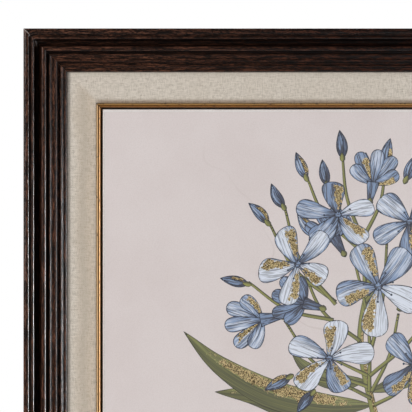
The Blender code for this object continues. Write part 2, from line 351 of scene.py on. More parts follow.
def wood_grain_group():
    """Streaks, broad bands and open pores that run along the first coordinate, in metres."""
    tree, given, result = group_shell(
        "wood_grain",
        [("Along and Across", VECTOR, None)],
        [("Streaks", NUMBER), ("Bands", NUMBER), ("Pores", NUMBER)],
    )
    where = given["Along and Across"]
    wander = fractal(tree, stretch(tree, where, (14.0, 90.0, 1.0)), 1.0, 2.0)
    shift = times(tree, minus(tree, wander, 0.5), 0.0016)
    bent = vector_calc(tree, "ADD", where, join(tree, 0.0, shift))
    fine = fractal(tree, stretch(tree, bent, (300.0, 1300.0, 1.0)), 1.0, 3.0, 0.65)
    coarse = fractal(tree, stretch(tree, bent, (55.0, 520.0, 1.0)), 1.0, 3.0, 0.6)
    both = plus(tree, times(tree, fine, 0.65), times(tree, coarse, 0.35))
    pits = fractal(tree, stretch(tree, bent, (120.0, 1150.0, 1.0)), 1.0, 2.0)
    feed(tree, result, Streaks=ramp(tree, minus(tree, both, 0.5), -0.052, 0.078))
    feed(tree, result, Bands=ramp(tree, coarse, 0.36, 0.66), Pores=ramp(tree, pits, 0.52, 0.62))
    return tree


def edge_wear_group():
    """Rubbed mask on raised edges, from 0 to 1, and dark wax with painted shade in sheltered
    hollows.
    """
    tree, given, result = group_shell(
        "edge_wear",
        [
            ("Position", VECTOR, None),
            ("Ridge", NUMBER, 0.0),
            ("Shelter", NUMBER, 0.0),
            ("Patches", NUMBER, 60.0),
        ],
        [("Rubbed", NUMBER), ("Grime", NUMBER)],
    )
    patch = fractal(tree, given["Position"], given["Patches"], 4.0, 0.65)
    raised = ramp(tree, given["Ridge"], 0.15, 0.9)
    rubbed = times(tree, raised, ramp(tree, patch, 0.4, 0.62))
    uneven = times(tree, minus(tree, patch, 0.5), 0.35)
    # Dark wax in the hollows, deepened with painted shade: the mask grows with how sheltered a
    # point is
    sunk = ramp(tree, plus(tree, given["Shelter"], uneven), 0.36, 0.68)
    feed(tree, result, Rubbed=rubbed, Grime=sunk)
    return tree


def weave_group():
    """Plain weave over the picture's plane, with uneven yarns."""
    tree, given, result = group_shell(
        "plain_weave",
        [("Position", VECTOR, None), ("Threads per Metre", NUMBER, 1400.0), ("Slub", NUMBER, 1.0)],
        [("Height", NUMBER), ("Yarn", NUMBER)],
    )
    wobble = fractal(tree, given["Position"], 90.0, 2.0)
    pull = stretch(tree, join(tree, wobble, 0.0, wobble), (0.0011,) * 3)
    moved = vector_calc(tree, "ADD", given["Position"], pull)
    x, _, z = split(tree, moved)
    turn = times(tree, given["Threads per Metre"], math.pi)
    warp = calc(tree, "SINE", times(tree, x, turn))
    weft = calc(tree, "SINE", times(tree, z, turn))
    over = times(tree, warp, weft)
    level_yarn = fractal(tree, stretch(tree, moved, (170.0, 1.0, 950.0)), 1.0, 3.0)
    upright_yarn = fractal(tree, stretch(tree, moved, (950.0, 1.0, 200.0)), 1.0, 3.0)
    yarn = times(tree, plus(tree, level_yarn, upright_yarn), 0.5)
    uneven = times(tree, minus(tree, yarn, 0.5), given["Slub"])
    height = plus(tree, times(tree, over, 0.5), uneven)
    feed(tree, result, Height=height, Yarn=plus(tree, uneven, 0.5))
    return tree


def paper_mottle_group():
    """Faint clouds, fibres and foxed specks of old paper or card."""
    tree, given, result = group_shell(
        "paper_mottle",
        [("Position", VECTOR, None), ("Clouds per Metre", NUMBER, 14.0)],
        [("Clouds", NUMBER), ("Fibres", NUMBER), ("Specks", NUMBER)],
    )
    where = given["Position"]
    feed(tree, result, Clouds=fractal(tree, where, given["Clouds per Metre"], 4.0, 0.6))
    feed(tree, result, Fibres=fractal(tree, where, 900.0, 2.0))
    cells = add_node(tree, "ShaderNodeTexVoronoi", {"Vector": where, "Scale": 42.0})
    rare = ramp(tree, split(tree, cells.outputs["Color"])[0], 0.93, 0.935)
    dot = ramp(tree, cells.outputs["Distance"], 0.022, 0.034, 1.0, 0.0)
    feed(tree, result, Specks=times(tree, dot, rare))
    return tree


def engraving_group():
    """Pen outline, lengthwise hatching and midrib of one printed shape."""
    tree, given, result = group_shell(
        "engraved_lines",
        [
            ("Along", NUMBER, 0.5),
            ("Across", NUMBER, 0.0),
            ("Edge Distance", NUMBER, 1.0),
            ("Half Width", NUMBER, 5.0),
            ("Seed", NUMBER, 0.0),
            ("Line Width", NUMBER, 0.4),
        ],
        [("Outline", NUMBER), ("Hatching", NUMBER), ("Midrib", NUMBER), ("Streaks", NUMBER)],
    )
    side = times(tree, given["Across"], given["Half Width"])
    line = join(tree, times(tree, given["Along"], 5.0), side, given["Seed"])
    press = fractal(tree, stretch(tree, line, (1.2, 0.25, 7.0)), 1.0, 2.0)
    reach = times(tree, given["Line Width"], ramp(tree, press, 0.3, 0.7, 0.55, 1.5))
    past = calc(tree, "DIVIDE", given["Edge Distance"], reach)
    strokes = fractal(tree, stretch(tree, line, (0.35, 1.0, 7.0)), 1.0, 2.0, 0.6)
    bands = fractal(tree, stretch(tree, line, (0.3, 0.55, 7.0)), 1.0, 3.0, 0.6)
    rib = ramp(tree, size_of(tree, side), 0.2, 0.5, 1.0, 0.0)
    fade = ramp(tree, given["Along"], 0.55, 0.92, 1.0, 0.0)
    feed(tree, result, Outline=ramp(tree, past, 0.6, 1.25, 1.0, 0.0))
    feed(tree, result, Hatching=ramp(tree, strokes, 0.51, 0.56))
    feed(tree, result, Streaks=ramp(tree, bands, 0.38, 0.66), Midrib=times(tree, rib, fade))
    return tree


def gold_flake_group():
    """Granular gold leaf laid in a ragged patch on one side of a printed shape."""
    tree, given, result = group_shell(
        "gold_flakes",
        [
            ("Position", VECTOR, None),
            ("Along", NUMBER, 0.5),
            ("Across", NUMBER, 0.0),
            ("Gilding", NUMBER, 0.0),
            ("Dark Gold", COLOUR, None),
            ("Light Gold", COLOUR, None),
        ],
        [("Mask", NUMBER), ("Colour", COLOUR), ("Height", NUMBER)],
    )
    where = given["Position"]
    side = times(tree, given["Across"], calc(tree, "SIGN", given["Gilding"]))
    ragged = minus(tree, fractal(tree, where, 260.0, 3.0, 0.7), 0.5)
    edge = plus(tree, side, times(tree, ragged, 1.1))
    amount = size_of(tree, given["Gilding"])
    inner = ramp(tree, edge, 0.08, 0.16)
    outer = ramp(tree, edge, 0.8, 0.9, 1.0, 0.0)
    begin = ramp(tree, plus(tree, given["Along"], times(tree, ragged, 0.6)), 0.1, 0.2)
    far = minus(tree, amount, given["Along"])
    finish = ramp(tree, plus(tree, far, times(tree, ragged, 0.5)), 0.0, 0.08)
    band = times(tree, times(tree, inner, outer), times(tree, begin, finish))
    laid = times(tree, band, ramp(tree, amount, 0.05, 0.1))
    grains = add_node(tree, "ShaderNodeTexVoronoi", {"Vector": where, "Scale": 1600.0})
    grain = split(tree, grains.outputs["Color"])[0]
    holes = ramp(tree, plus(tree, laid, times(tree, grain, 0.5)), 0.55, 0.75)
    lit = ramp(tree, grain, 0.25, 0.85)
    gold = tint(tree, lit, given["Dark Gold"], given["Light Gold"])
    mask = times(tree, holes, ramp(tree, laid, 0.1, 0.35))
    feed(tree, result, Mask=mask, Colour=gold, Height=grain)
    return tree


def paper_ground_group():
    """The sheet's own colour, which also shows through every ink."""
    tree, given, result = group_shell(
        "paper_ground",
        [
            ("Position", VECTOR, None),
            ("Paper", COLOUR, None),
            ("Shade", COLOUR, None),
            ("Foxing", COLOUR, None),
        ],
        [("Colour", COLOUR), ("Fibres", NUMBER), ("Specks", NUMBER)],
    )
    mottle = effect(tree, "paper_mottle", {"Position": given["Position"]})
    toned = tint(tree, ramp(tree, mottle["Clouds"], 0.3, 0.72), given["Paper"], given["Shade"])
    fibres = ramp(tree, mottle["Fibres"], 0.35, 0.75, 0.0, 0.09)
    feed(tree, result, Colour=tint(tree, fibres, toned, given["Foxing"]))
    feed(tree, result, Fibres=mottle["Fibres"], Specks=mottle["Specks"])
    return tree


def ink_layers_group():
    """Wash, pen outline and gold over the paper, in that order, and where the gold shines."""
    tree, given, result = group_shell(
        "ink_layers",
        [
            ("Ground", COLOUR, None),
            ("Wash", COLOUR, None),
            ("Cover", NUMBER, 0.95),
            ("Outline", NUMBER, 0.0),
            ("Pen", COLOUR, None),
            ("Gold Mask", NUMBER, 0.0),
            ("Gold", COLOUR, None),
        ],
        [("Colour", COLOUR), ("Metal", NUMBER), ("Roughness", NUMBER)],
    )
    washed = tint(tree, given["Cover"], given["Ground"], given["Wash"])
    drawn = tint(tree, given["Outline"], washed, given["Pen"])
    mask = given["Gold Mask"]
    feed(tree, result, Colour=tint(tree, mask, drawn, given["Gold"]))
    feed(tree, result, Metal=times(tree, mask, 0.45))
    feed(tree, result, Roughness=ramp(tree, mask, 0.0, 1.0, 0.72, 0.38))
    return tree


GROUP_MAKERS = {
    "wood_grain": wood_grain_group,
    "edge_wear": edge_wear_group,
    "plain_weave": weave_group,
    "paper_mottle": paper_mottle_group,
    "engraved_lines": engraving_group,
    "gold_flakes": gold_flake_group,
    "paper_ground": paper_ground_group,
    "ink_layers": ink_layers_group,
}


def effect(tree, name, values):
    """Places a shared effect in a material, with its own values."""
    group = bpy.data.node_groups.get(name) or GROUP_MAKERS[name]()
    return add_node(tree, "ShaderNodeGroup", values, node_tree=group).outputs


def new_material(name, **constants):
    """A material whose shader has these plain values. Returns it, its tree and its shader."""
    material = bpy.data.materials.new(name)
    material.use_nodes = True
    tree = material.node_tree
    shader = tree.nodes["Principled BSDF"]
    for key, value in constants.items():
        shader.inputs[key.replace("_", " ")].default_value = value
    return material, tree, shader


def bump(tree, shader, height, strength, distance):
    """Raises the surface by a height. The distance is in metres."""
    values = {"Height": height, "Strength": strength, "Distance": distance}
    feed(tree, shader, Normal=add_node(tree, "ShaderNodeBump", values).outputs[0])


def made_once(maker):
    """Keeps a material so that pieces share it."""
    @functools.wraps(maker)
    def get(context):
        name = f"{maker.__name__}_finish"
        return bpy.data.materials.get(name) or maker(context, name)
    return get


def worn_edges(tree, patches):
    """Edge wear over a rail. Returns the rail's ridge values and the effect's outputs."""
    ridge = read_number(tree, "ridge")
    values = {"Position": place(tree), "Ridge": ridge, "Shelter": read_number(tree, "shelter")}
    return ridge, effect(tree, "edge_wear", values | {"Patches": patches})


def level_rails(tree):
    """1 on level rails and 0 on upright ones."""
    return minus(tree, 1.0, read_number(tree, "upright"))


@made_once
def dark_wood(context, name):
    """Dark stained open-grain wood under a thin satin lacquer."""
    look = context.scene.wood_finish
    material, tree, shader = new_material(
        name, Specular_IOR_Level=0.1, Coat_Roughness=0.2, Coat_IOR=1.8
    )
    where = read_map(tree, "grain")
    across = split(tree, where)[1]
    mitre = read_number(tree, "mitre")
    grain = effect(tree, "wood_grain", {"Along and Across": where})
    _, wear = worn_edges(tree, 70.0)
    stained = tint(tree, grain["Streaks"], look.dark, look.middle)
    figure = times(tree, grain["Bands"], grain["Streaks"])
    figured = tint(tree, figure, stained, look.light)
    pored = tint(tree, times(tree, grain["Pores"], 0.75), figured, look.pore)
    # Painted shade: level rails darken away from their mitres, towards their middle
    inward = times(tree, ramp(tree, mitre, *SHADE_BEYOND_MITRE), level_rails(tree))
    waxed = tint(tree, inward, pored, look.waxed, "MULTIPLY")
    # Dark wax and painted shade in the sheltered hollows, in the pore colour
    grimed_and_shaded = tint(tree, times(tree, wear["Grime"], 0.74), waxed, look.pore)
    worn = tint(tree, times(tree, wear["Rubbed"], look.wear), grimed_and_shaded, look.rubbed)
    outer = ramp(tree, across, 0.0062, 0.0074, 1.0, 0.0)
    chip = times(tree, ramp(tree, mitre, *JOINT_LINE, 1.0, 0.0), outer)
    chipped = tint(tree, times(tree, chip, 0.8), worn, look.chip)
    gloss = look.gloss_roughness
    roughness = ramp(tree, grain["Streaks"], 0.0, 1.0, gloss + 0.1, gloss)
    feed(tree, shader, Base_Color=chipped, Roughness=roughness)
    clean = ramp(tree, wear["Grime"], 0.0, 1.0, 1.0, 0.15)
    thinned = ramp(tree, across, 0.012, 0.055, 1.0, 0.25)
    streaky = ramp(tree, grain["Streaks"], 0.0, 1.0, 0.5, 1.0)
    feed(tree, shader, Coat_Weight=times(tree, times(tree, clean, thinned), streaky))
    height = minus(tree, times(tree, grain["Streaks"], 0.35), grain["Pores"])
    bump(tree, shader, height, 0.5, 0.00012)
    return material


@made_once
def linen(context, name):
    """Natural linen with uneven yarns, glued flat on its board."""
    look = context.scene.linen_finish
    material, tree, shader = new_material(
        name, Roughness=0.92, Sheen_Weight=0.15, Sheen_Roughness=0.5
    )
    where = place(tree)
    across, upright, _ = split(tree, read_vector(tree, "band"))
    level = minus(tree, 1.0, upright)
    cloth = effect(tree, "plain_weave", {"Position": where, "Threads per Metre": look.threads})
    mottle = effect(tree, "paper_mottle", {"Position": where, "Clouds per Metre": 30.0})
    yarns = tint(tree, ramp(tree, cloth["Yarn"], 0.33, 0.59), look.shadow, look.light)
    crossing = ramp(tree, cloth["Height"], -0.7, 0.6, 0.38, 0.0)
    crossed = tint(tree, crossing, yarns, look.shadow)
    clouds = ramp(tree, mottle["Clouds"], 0.35, 0.7, 0.0, 0.25)
    clouded = tint(tree, clouds, crossed, look.warm)
    drift = plus(tree, across, times(tree, minus(tree, mottle["Clouds"], 0.5), 0.5))
    # The inner part of the upright bands is tinted warmer and darker
    inner = times(tree, ramp(tree, drift, 0.15, 0.6), upright)
    warmed = tint(tree, times(tree, inner, 0.8), clouded, look.handled, "MULTIPLY")
    # Painted shade of the shallow hollow along the middle of the upright bands
    from_hollow = size_of(tree, minus(tree, drift, 0.57))
    hollow = times(tree, ramp(tree, from_hollow, 0.0, 0.34, 0.62, 0.0), upright)
    toned = tint(tree, hollow, warmed, look.shadow)
    # Painted shadow of the moulding's lip on the level bands, next to the sight edge
    brow_shadow = times(tree, ramp(tree, across, 0.0, 0.28, 0.45, 0.0), level)
    brow_shadowed = tint(tree, brow_shadow, toned, look.shadow)
    # Painted shade where the level bands roll down to the slip
    roll = times(tree, ramp(tree, across, 0.88, 1.06), level)
    dusty = tint(tree, roll, brow_shadowed, look.dusty, "MULTIPLY")
    slubs = ramp(tree, fractal(tree, where, 950.0, 2.0, 0.6), 0.60, 0.70, 0.0, 0.4)
    feed(tree, shader, Base_Color=tint(tree, slubs, dusty, look.fleck))
    bump(tree, shader, cloth["Height"], 0.5, 0.0002)
    return material


@made_once
def gilt(context, name):
    """Gold leaf rubbed through to brown clay along its length."""
    look = context.scene.gilt_finish
    material, tree, shader = new_material(name)
    where = read_map(tree, "grain")
    ridge, wear = worn_edges(tree, 300.0)
    streak = fractal(tree, stretch(tree, where, (150.0, 700.0, 1.0)), 1.0, 4.0, 0.7)
    spots = fractal(tree, stretch(tree, where, (260.0, 420.0, 1.0)), 1.0, 3.0, 0.6)
    toned = tint(tree, ramp(tree, streak, 0.34, 0.66), look.deep, look.gold)
    # Burnished gold along the beads, with a painted highlight that is strongest on the outer bead
    outer_bead = ramp(tree, split(tree, where)[1], 0.0018, 0.0024, 1.0, 0.15)
    burnish_and_highlight = times(tree, ramp(tree, ridge, 0.0, 0.7), outer_bead)
    bright = tint(tree, burnish_and_highlight, toned, look.bright)
    bare = ramp(tree, spots, 0.58, 0.66)
    # Clay shows where the gold is rubbed through, and in sheltered hollows, where it is also
    # painted shade
    clay = calc(tree, "MAXIMUM", times(tree, wear["Grime"], 0.8), bare)
    rubbed = tint(tree, times(tree, clay, look.rub), bright, look.clay)
    joint = ramp(tree, read_number(tree, "mitre"), *JOINT_LINE, 0.85, 0.0)
    joined = tint(tree, joint, rubbed, look.joint)
    # Painted shade: the level rails of the slip are darker than the upright ones
    level_shaded = tint(tree, level_rails(tree), joined, look.dusty, "MULTIPLY")
    feed(tree, shader, Base_Color=level_shaded, Metallic=ramp(tree, clay, 0.2, 0.8, 0.3, 0.1))
    feed(tree, shader, Roughness=ramp(tree, streak, 0.3, 0.7, 0.48, 0.3))
    bump(tree, shader, minus(tree, streak, clay), 0.45, 0.0001)
    return material


@made_once
def slip_wall(context, name):
    """Dark blue-black paint on the slip's inner wall."""
    look = context.scene.gilt_finish
    material, tree, shader = new_material(name, Specular_IOR_Level=0.2)
    brush = fractal(tree, place(tree), 700.0, 3.0)
    brushed = tint(tree, ramp(tree, brush, 0.55, 0.75), look.wall, look.wall_brushed)
    feed(tree, shader, Base_Color=brushed, Roughness=ramp(tree, brush, 0.3, 0.7, 0.7, 0.5))
    return material


@made_once
def mount_card(context, name):
    """Pale smooth board under the print."""
    look = context.scene.print_design
    material, tree, shader = new_material(name)
    mottle = effect(tree, "paper_mottle", {"Position": place(tree), "Clouds per Metre": 25.0})
    base = tint(tree, ramp(tree, mottle["Clouds"], 0.3, 0.7, 0.0, 0.5), look.card, look.paper)
    fibred = tint(tree, ramp(tree, mottle["Fibres"], 0.3, 0.7, 0.0, 0.14), base, look.foxing)
    specked = tint(tree, times(tree, mottle["Specks"], 0.8), fibred, look.foxing)
    roughness = ramp(tree, mottle["Fibres"], 0.2, 0.8, 0.7, 0.88)
    feed(tree, shader, Base_Color=specked, Roughness=roughness)
    bump(tree, shader, mottle["Fibres"], 0.15, 0.0001)
    return material


def paper_ground(context, tree):
    """Places the ground of the print. Returns where the material is, and the effect's outputs."""
    look = context.scene.print_design
    where = place(tree)
    colours = {"Paper": look.paper, "Shade": look.paper_shade, "Foxing": look.foxing}
    values = {key: colour(value) for key, value in colours.items()}
    return where, effect(tree, "paper_ground", {"Position": where, **values})


@made_once
def print_paper(context, name):
    """Pinkish grey paper with clouds, foxed specks and faint creases."""
    look = context.scene.print_design
    material, tree, shader = new_material(name)
    where, ground = paper_ground(context, tree)
    specked = tint(tree, times(tree, ground["Specks"], 0.75), ground["Colour"], look.foxing)
    x, _, z = split(tree, where)
    bend = fractal(tree, where, 9.0, 2.0)
    across = plus(tree, times(tree, x, 3.0), times(tree, z, 2.2))
    fold = calc(tree, "FRACT", plus(tree, across, times(tree, bend, 0.5)))
    # Faint dark lines on the flat sheet: dirt along creases and their painted shade, in the foxing
    # colour
    crease_shade = ramp(tree, size_of(tree, minus(tree, fold, 0.5)), 0.0, 0.006, 1.0, 0.0)
    some = ramp(tree, fractal(tree, where, 5.0, 2.0), 0.5, 0.62)
    shown = times(tree, times(tree, crease_shade, some), 0.16)
    feed(tree, shader, Base_Color=tint(tree, shown, specked, look.foxing))
    feed(tree, shader, Roughness=ramp(tree, ground["Fibres"], 0.2, 0.8, 0.62, 0.8))
    bump(tree, shader, ground["Fibres"], 0.12, 0.0001)
    return material


# What an ink reads: its place on the shape, its tone, its pen lines, its gold and its paper
Drawing = namedtuple("Drawing", "along across tone lines flakes ground")


def read_drawing(context, tree, line_width):
    """Reads the printed shape that an ink lies on."""
    along, across, _ = split(tree, read_map(tree, "mark"))
    edge, half_width, tone = split(tree, read_vector(tree, "facts"))
    gilding, seed, _ = split(tree, read_vector(tree, "extras"))
    lines = effect(
        tree,
        "engraved_lines",
        {
            "Along": along,
            "Across": across,
            "Edge Distance": edge,
            "Half Width": half_width,
            "Seed": seed,
            "Line Width": line_width,
        },
    )
    where, ground = paper_ground(context, tree)
    look = context.scene.print_design
    values = {"Position": where, "Along": along, "Across": across, "Gilding": gilding}
    values |= {"Dark Gold": colour(look.gold_dark), "Light Gold": colour(look.gold_light)}
    flakes = effect(tree, "gold_flakes", values)
    return Drawing(along, across, tone, lines, flakes, ground)


def finish_ink(tree, shader, wash, drawing, pen, cover):
    """Lays wash, pen lines and gold over the paper."""
    flakes = drawing.flakes
    layers = effect(
        tree,
        "ink_layers",
        {
            "Ground": drawing.ground["Colour"],
            "Wash": wash,
            "Cover": cover,
            "Outline": drawing.lines["Outline"],
            "Pen": colour(pen),
            "Gold Mask": flakes["Mask"],
            "Gold": flakes["Colour"],
        },
    )
    feed(tree, shader, Base_Color=layers["Colour"], Metallic=layers["Metal"])
    feed(tree, shader, Roughness=layers["Roughness"])
    bump(tree, shader, times(tree, flakes["Height"], flakes["Mask"]), 0.5, 0.0002)


@made_once
def petal_ink(context, name):
    """White to deep blue wash with lengthwise hatching, for petals and buds."""
    look = context.scene.print_design
    material, tree, shader = new_material(name)
    drawing = read_drawing(context, tree, 0.62)
    lines = drawing.lines
    root = ramp(tree, drawing.along, 0.0, 0.42, 0.5, 0.0)
    side = ramp(tree, drawing.across, 0.0, 1.0, 0.0, 0.16)
    rim = ramp(tree, size_of(tree, drawing.across), 0.7, 1.0, 0.0, 0.3)
    worked = plus(tree, plus(tree, root, side), rim)
    depth = plus(tree, worked, times(tree, drawing.tone, 0.85))
    streaks = times(tree, minus(tree, lines["Streaks"], 0.5), 0.35)
    varied = plus(tree, depth, streaks)
    pale = tint(tree, ramp(tree, varied, 0.05, 0.55), look.petal_white, look.petal_blue)
    wash = tint(tree, ramp(tree, varied, 0.55, 1.15), pale, look.petal_deep)
    shade = times(tree, lines["Hatching"], ramp(tree, varied, 0.1, 0.8, 0.48, 0.92))
    hatched = tint(tree, shade, wash, look.pen)
    ribbed = tint(tree, times(tree, lines["Midrib"], 0.75), hatched, look.pen)
    finish_ink(tree, shader, ribbed, drawing, look.pen, 0.95)
    return material


@made_once
def leaf_ink(context, name):
    """Two-toned olive wash with side veins."""
    look = context.scene.print_design
    material, tree, shader = new_material(name)
    drawing = read_drawing(context, tree, 0.5)
    across, lines = drawing.across, drawing.lines
    halves = tint(tree, ramp(tree, across, -0.08, 0.08), look.leaf_dark, look.leaf_light)
    between = calc(tree, "FRACT", times(tree, across, 2.6))
    vein = ramp(tree, size_of(tree, minus(tree, between, 0.5)), 0.0, 0.1, 1.0, 0.0)
    streaked = tint(tree, times(tree, lines["Streaks"], 0.45), halves, look.leaf_yellow)
    hatched = tint(tree, times(tree, lines["Hatching"], 0.5), streaked, look.leaf_pen)
    toned = tint(tree, times(tree, drawing.tone, 0.5), hatched, look.leaf_dark)
    veined = tint(tree, times(tree, vein, 0.45), toned, look.leaf_pen)
    ribbed = tint(tree, times(tree, lines["Midrib"], 0.85), veined, look.leaf_pen)
    finish_ink(tree, shader, ribbed, drawing, look.leaf_pen, 0.96)
    return material


@made_once
def stem_ink(context, name):
    """Olive stem, rounded by its shading and flecked with gold."""
    look = context.scene.print_design
    material, tree, shader = new_material(name)
    drawing = read_drawing(context, tree, 0.4)
    from_light = size_of(tree, plus(tree, drawing.across, 0.3))
    body = tint(tree, ramp(tree, from_light, 0.1, 1.1), look.leaf_yellow, look.leaf_pen)
    streaked = tint(tree, times(tree, drawing.lines["Streaks"], 0.5), body, look.leaf_dark)
    finish_ink(tree, shader, streaked, drawing, look.leaf_pen, 0.97)
    return material


@made_once
def anther_ink(context, name):
    """Near-black pen work for stamens."""
    look = context.scene.print_design
    material, tree, shader = new_material(name, Roughness=0.7)
    _, ground = paper_ground(context, tree)
    worn = ramp(tree, ground["Fibres"], 0.3, 0.8, 0.0, 0.3)
    feed(tree, shader, Base_Color=tint(tree, worn, look.pen, look.petal_blue))
    return material


@made_once
def hardboard(context, name):
    """Brown pressed board, screen-patterned behind and painted black in front."""
    look = context.scene.back_finish
    material, tree, shader = new_material(name)
    where = place(tree)
    pattern = {"Position": where, "Threads per Metre": 700.0, "Slub": 0.6}
    screen = effect(tree, "plain_weave", pattern)
    mottle = effect(tree, "paper_mottle", {"Position": where, "Clouds per Metre": 20.0})
    brown = tint(tree, ramp(tree, mottle["Clouds"], 0.3, 0.7), look.board, look.board_light)
    fibred = tint(tree, ramp(tree, mottle["Fibres"], 0.45, 0.8, 0.0, 0.5), brown, look.board_fibre)
    # Painted shade in the hollows of the screen pattern
    hollows = ramp(tree, screen["Height"], -0.5, 0.3, 0.4, 0.0)
    meshed = tint(tree, hollows, fibred, look.board_fibre)
    # Black paint on the front, which also stands in for the shade seen through the gap beside the
    # print
    normal = add_node(tree, "ShaderNodeNewGeometry").outputs["Normal"]
    front = ramp(tree, split(tree, normal)[1], -0.6, -0.4, 1.0, 0.0)
    feed(tree, shader, Base_Color=tint(tree, front, meshed, look.board_front))
    feed(tree, shader, Roughness=ramp(tree, mottle["Fibres"], 0.3, 0.7, 0.75, 0.9))
    bump(tree, shader, screen["Height"], 0.35, 0.0003)
    return material


@made_once
def zinc_steel(context, name):
    """Bright zinc plate with fine scratches and dull patches."""
    look = context.scene.back_finish
    material, tree, shader = new_material(name, Metallic=1.0)
    where = place(tree)
    scratch = fractal(tree, stretch(tree, where, (90.0, 900.0, 1800.0)), 1.0, 4.0, 0.7)
    bloom = fractal(tree, where, 240.0, 3.0)
    base = tint(tree, bloom, look.zinc_dull, look.zinc)
    scratched = tint(tree, ramp(tree, scratch, 0.5, 0.72, 0.0, 0.4), base, look.scratch)
    feed(tree, shader, Base_Color=scratched, Roughness=ramp(tree, bloom, 0.3, 0.7, 0.28, 0.5))
    bump(tree, shader, scratch, 0.15, 0.0001)
    return material


@made_once
def bumper_rubber(context, name):
    """Soft dark rubber, dusty on its face."""
    look = context.scene.back_finish
    material, tree, shader = new_material(name)
    dust = fractal(tree, place(tree), 900.0, 4.0, 0.7)
    feed(tree, shader, Base_Color=tint(tree, ramp(tree, dust, 0.4, 0.8), look.rubber, look.dust))
    feed(tree, shader, Roughness=ramp(tree, dust, 0.3, 0.7, 0.6, 0.85))
    bump(tree, shader, dust, 0.2, 0.0002)
    return material


@made_once
def floor_paint(context, name):
    """Pale studio floor."""
    look = context.scene.stage_settings
    material, tree, shader = new_material(name, Roughness=0.8)
    speckle = fractal(tree, place(tree), 40.0, 3.0)
    feed(tree, shader, Base_Color=tint(tree, speckle, look.floor_dark, look.floor_light))
    return material


# Meshes

def new_piece(name, vertices, faces, materials, smooth_angle=SMOOTH_ANGLE):
    """A piece of the object, with its finish, that stands for the solid of the same name."""
    mesh = bpy.data.meshes.new(name)
    mesh.from_pydata([tuple(v) for v in vertices], [], [tuple(f) for f in faces])
    mesh.validate()
    mesh.shade_smooth()
    mesh.set_sharp_from_angle(angle=smooth_angle)
    for material in materials:
        mesh.materials.append(material)
    piece = bpy.data.objects.new(name, mesh)
    bpy.context.scene.collection.objects.link(piece)
    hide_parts(name)
    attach(piece, BODY)
    return piece


def store(mesh, name, kind, domain, values):
    """Keeps one value for each point or corner of a mesh, for its material to read."""
    attribute = mesh.attributes.new(name, kind, domain)
    key = "value" if kind == "FLOAT" else "vector"
    attribute.data.foreach_set(key, np.asarray(values, np.float32).ravel())


def store_map(mesh, name, places):
    """Keeps a flat place for each corner of a mesh."""
    layer = mesh.uv_layers.new(name=name)
    layer.data.foreach_set("uv", np.asarray(places).astype(np.float32).ravel())


def corner_vertices(mesh):
    """The number of the vertex at each corner of a mesh."""
    numbers = np.zeros(len(mesh.loops), np.int32)
    mesh.loops.foreach_get("vertex_index", numbers)
    return numbers


def faces_between(rows, count, closed=False):
    """Faces that join rows of points, each row a ring, and the last row to the first if closed."""
    faces = []
    for row in range(rows if closed else rows - 1):
        near, far = row * count, (row + 1) % rows * count
        for i in range(count):
            j = (i + 1) % count
            faces.append((near + i, far + i, far + j, near + j))
    return faces


def run_points(start, runs, fullness):
    """Points in millimetres along runs of (across, height, swell). A swelling run is a full-topped
    reed laid on the line between its ends, and a dipping one is half an ellipse."""
    points = [Vector(start)]
    for across, height, swell in runs:
        begin, end = points[-1].copy(), Vector((across, height))
        per_mm = CURVED_POINTS_PER_MM if swell else STRAIGHT_POINTS_PER_MM
        steps = max(3, math.ceil(per_mm * (end - begin).length))
        for step in range(1, steps + 1):
            share = step / steps
            angle = math.pi * share
            point = begin.lerp(end, (1 - math.cos(angle)) / 2 if swell else share)
            bulge = math.sin(angle) ** (fullness if swell > 0 else 1) if step < steps else 0
            point.y += swell * bulge
            points.append(point)
    return points


def eased(points):
    """Softens the corners of an open outline and keeps its two ends."""
    middle = [(a + 2 * b + c) / 4 for a, b, c in zip(points, points[1:], points[2:])]
    return [points[0], *middle, points[-1]]


def ridge_values(points):
    """How far each point of an outline stands proud of its neighbours, from 1 to -1."""
    values = []
    for i, point in enumerate(points):
        before = points[max(0, i - RIDGE_REACH)]
        chord = points[min(len(points) - 1, i + RIDGE_REACH)] - before
        offset = point - before
        proud = (chord.x * offset.y - chord.y * offset.x) / max(chord.length, 1e-6)
        values.append(max(-1.0, min(1.0, proud / FULL_RIDGE)))
    return values


def shelter_values(points, deep):
    """How deep each point of an outline lies under a board on its crests, from 0 to 1 at deep."""
    crests = []
    for point in points:
        while len(crests) > 1:
            a, b = crests[-2:]
            if (b.x - a.x) * (point.y - a.y) < (b.y - a.y) * (point.x - a.x):
                break
            crests.pop()
        crests.append(point)
    board = np.interp([p.x for p in points], [c.x for c in crests], [c.y for c in crests])
    return [min(1.0, max(0.0, level - p.y) / deep) for level, p in zip(board, points)]


# A rail's outline as its visible face and the hidden points behind it, (towards the picture,
# towards the front), the distance between cross sections, how far its face wanders, and how deep
# a hollow is fully sheltered, all in millimetres
RailStock = namedtuple("RailStock", "face hidden spacing sway deep")


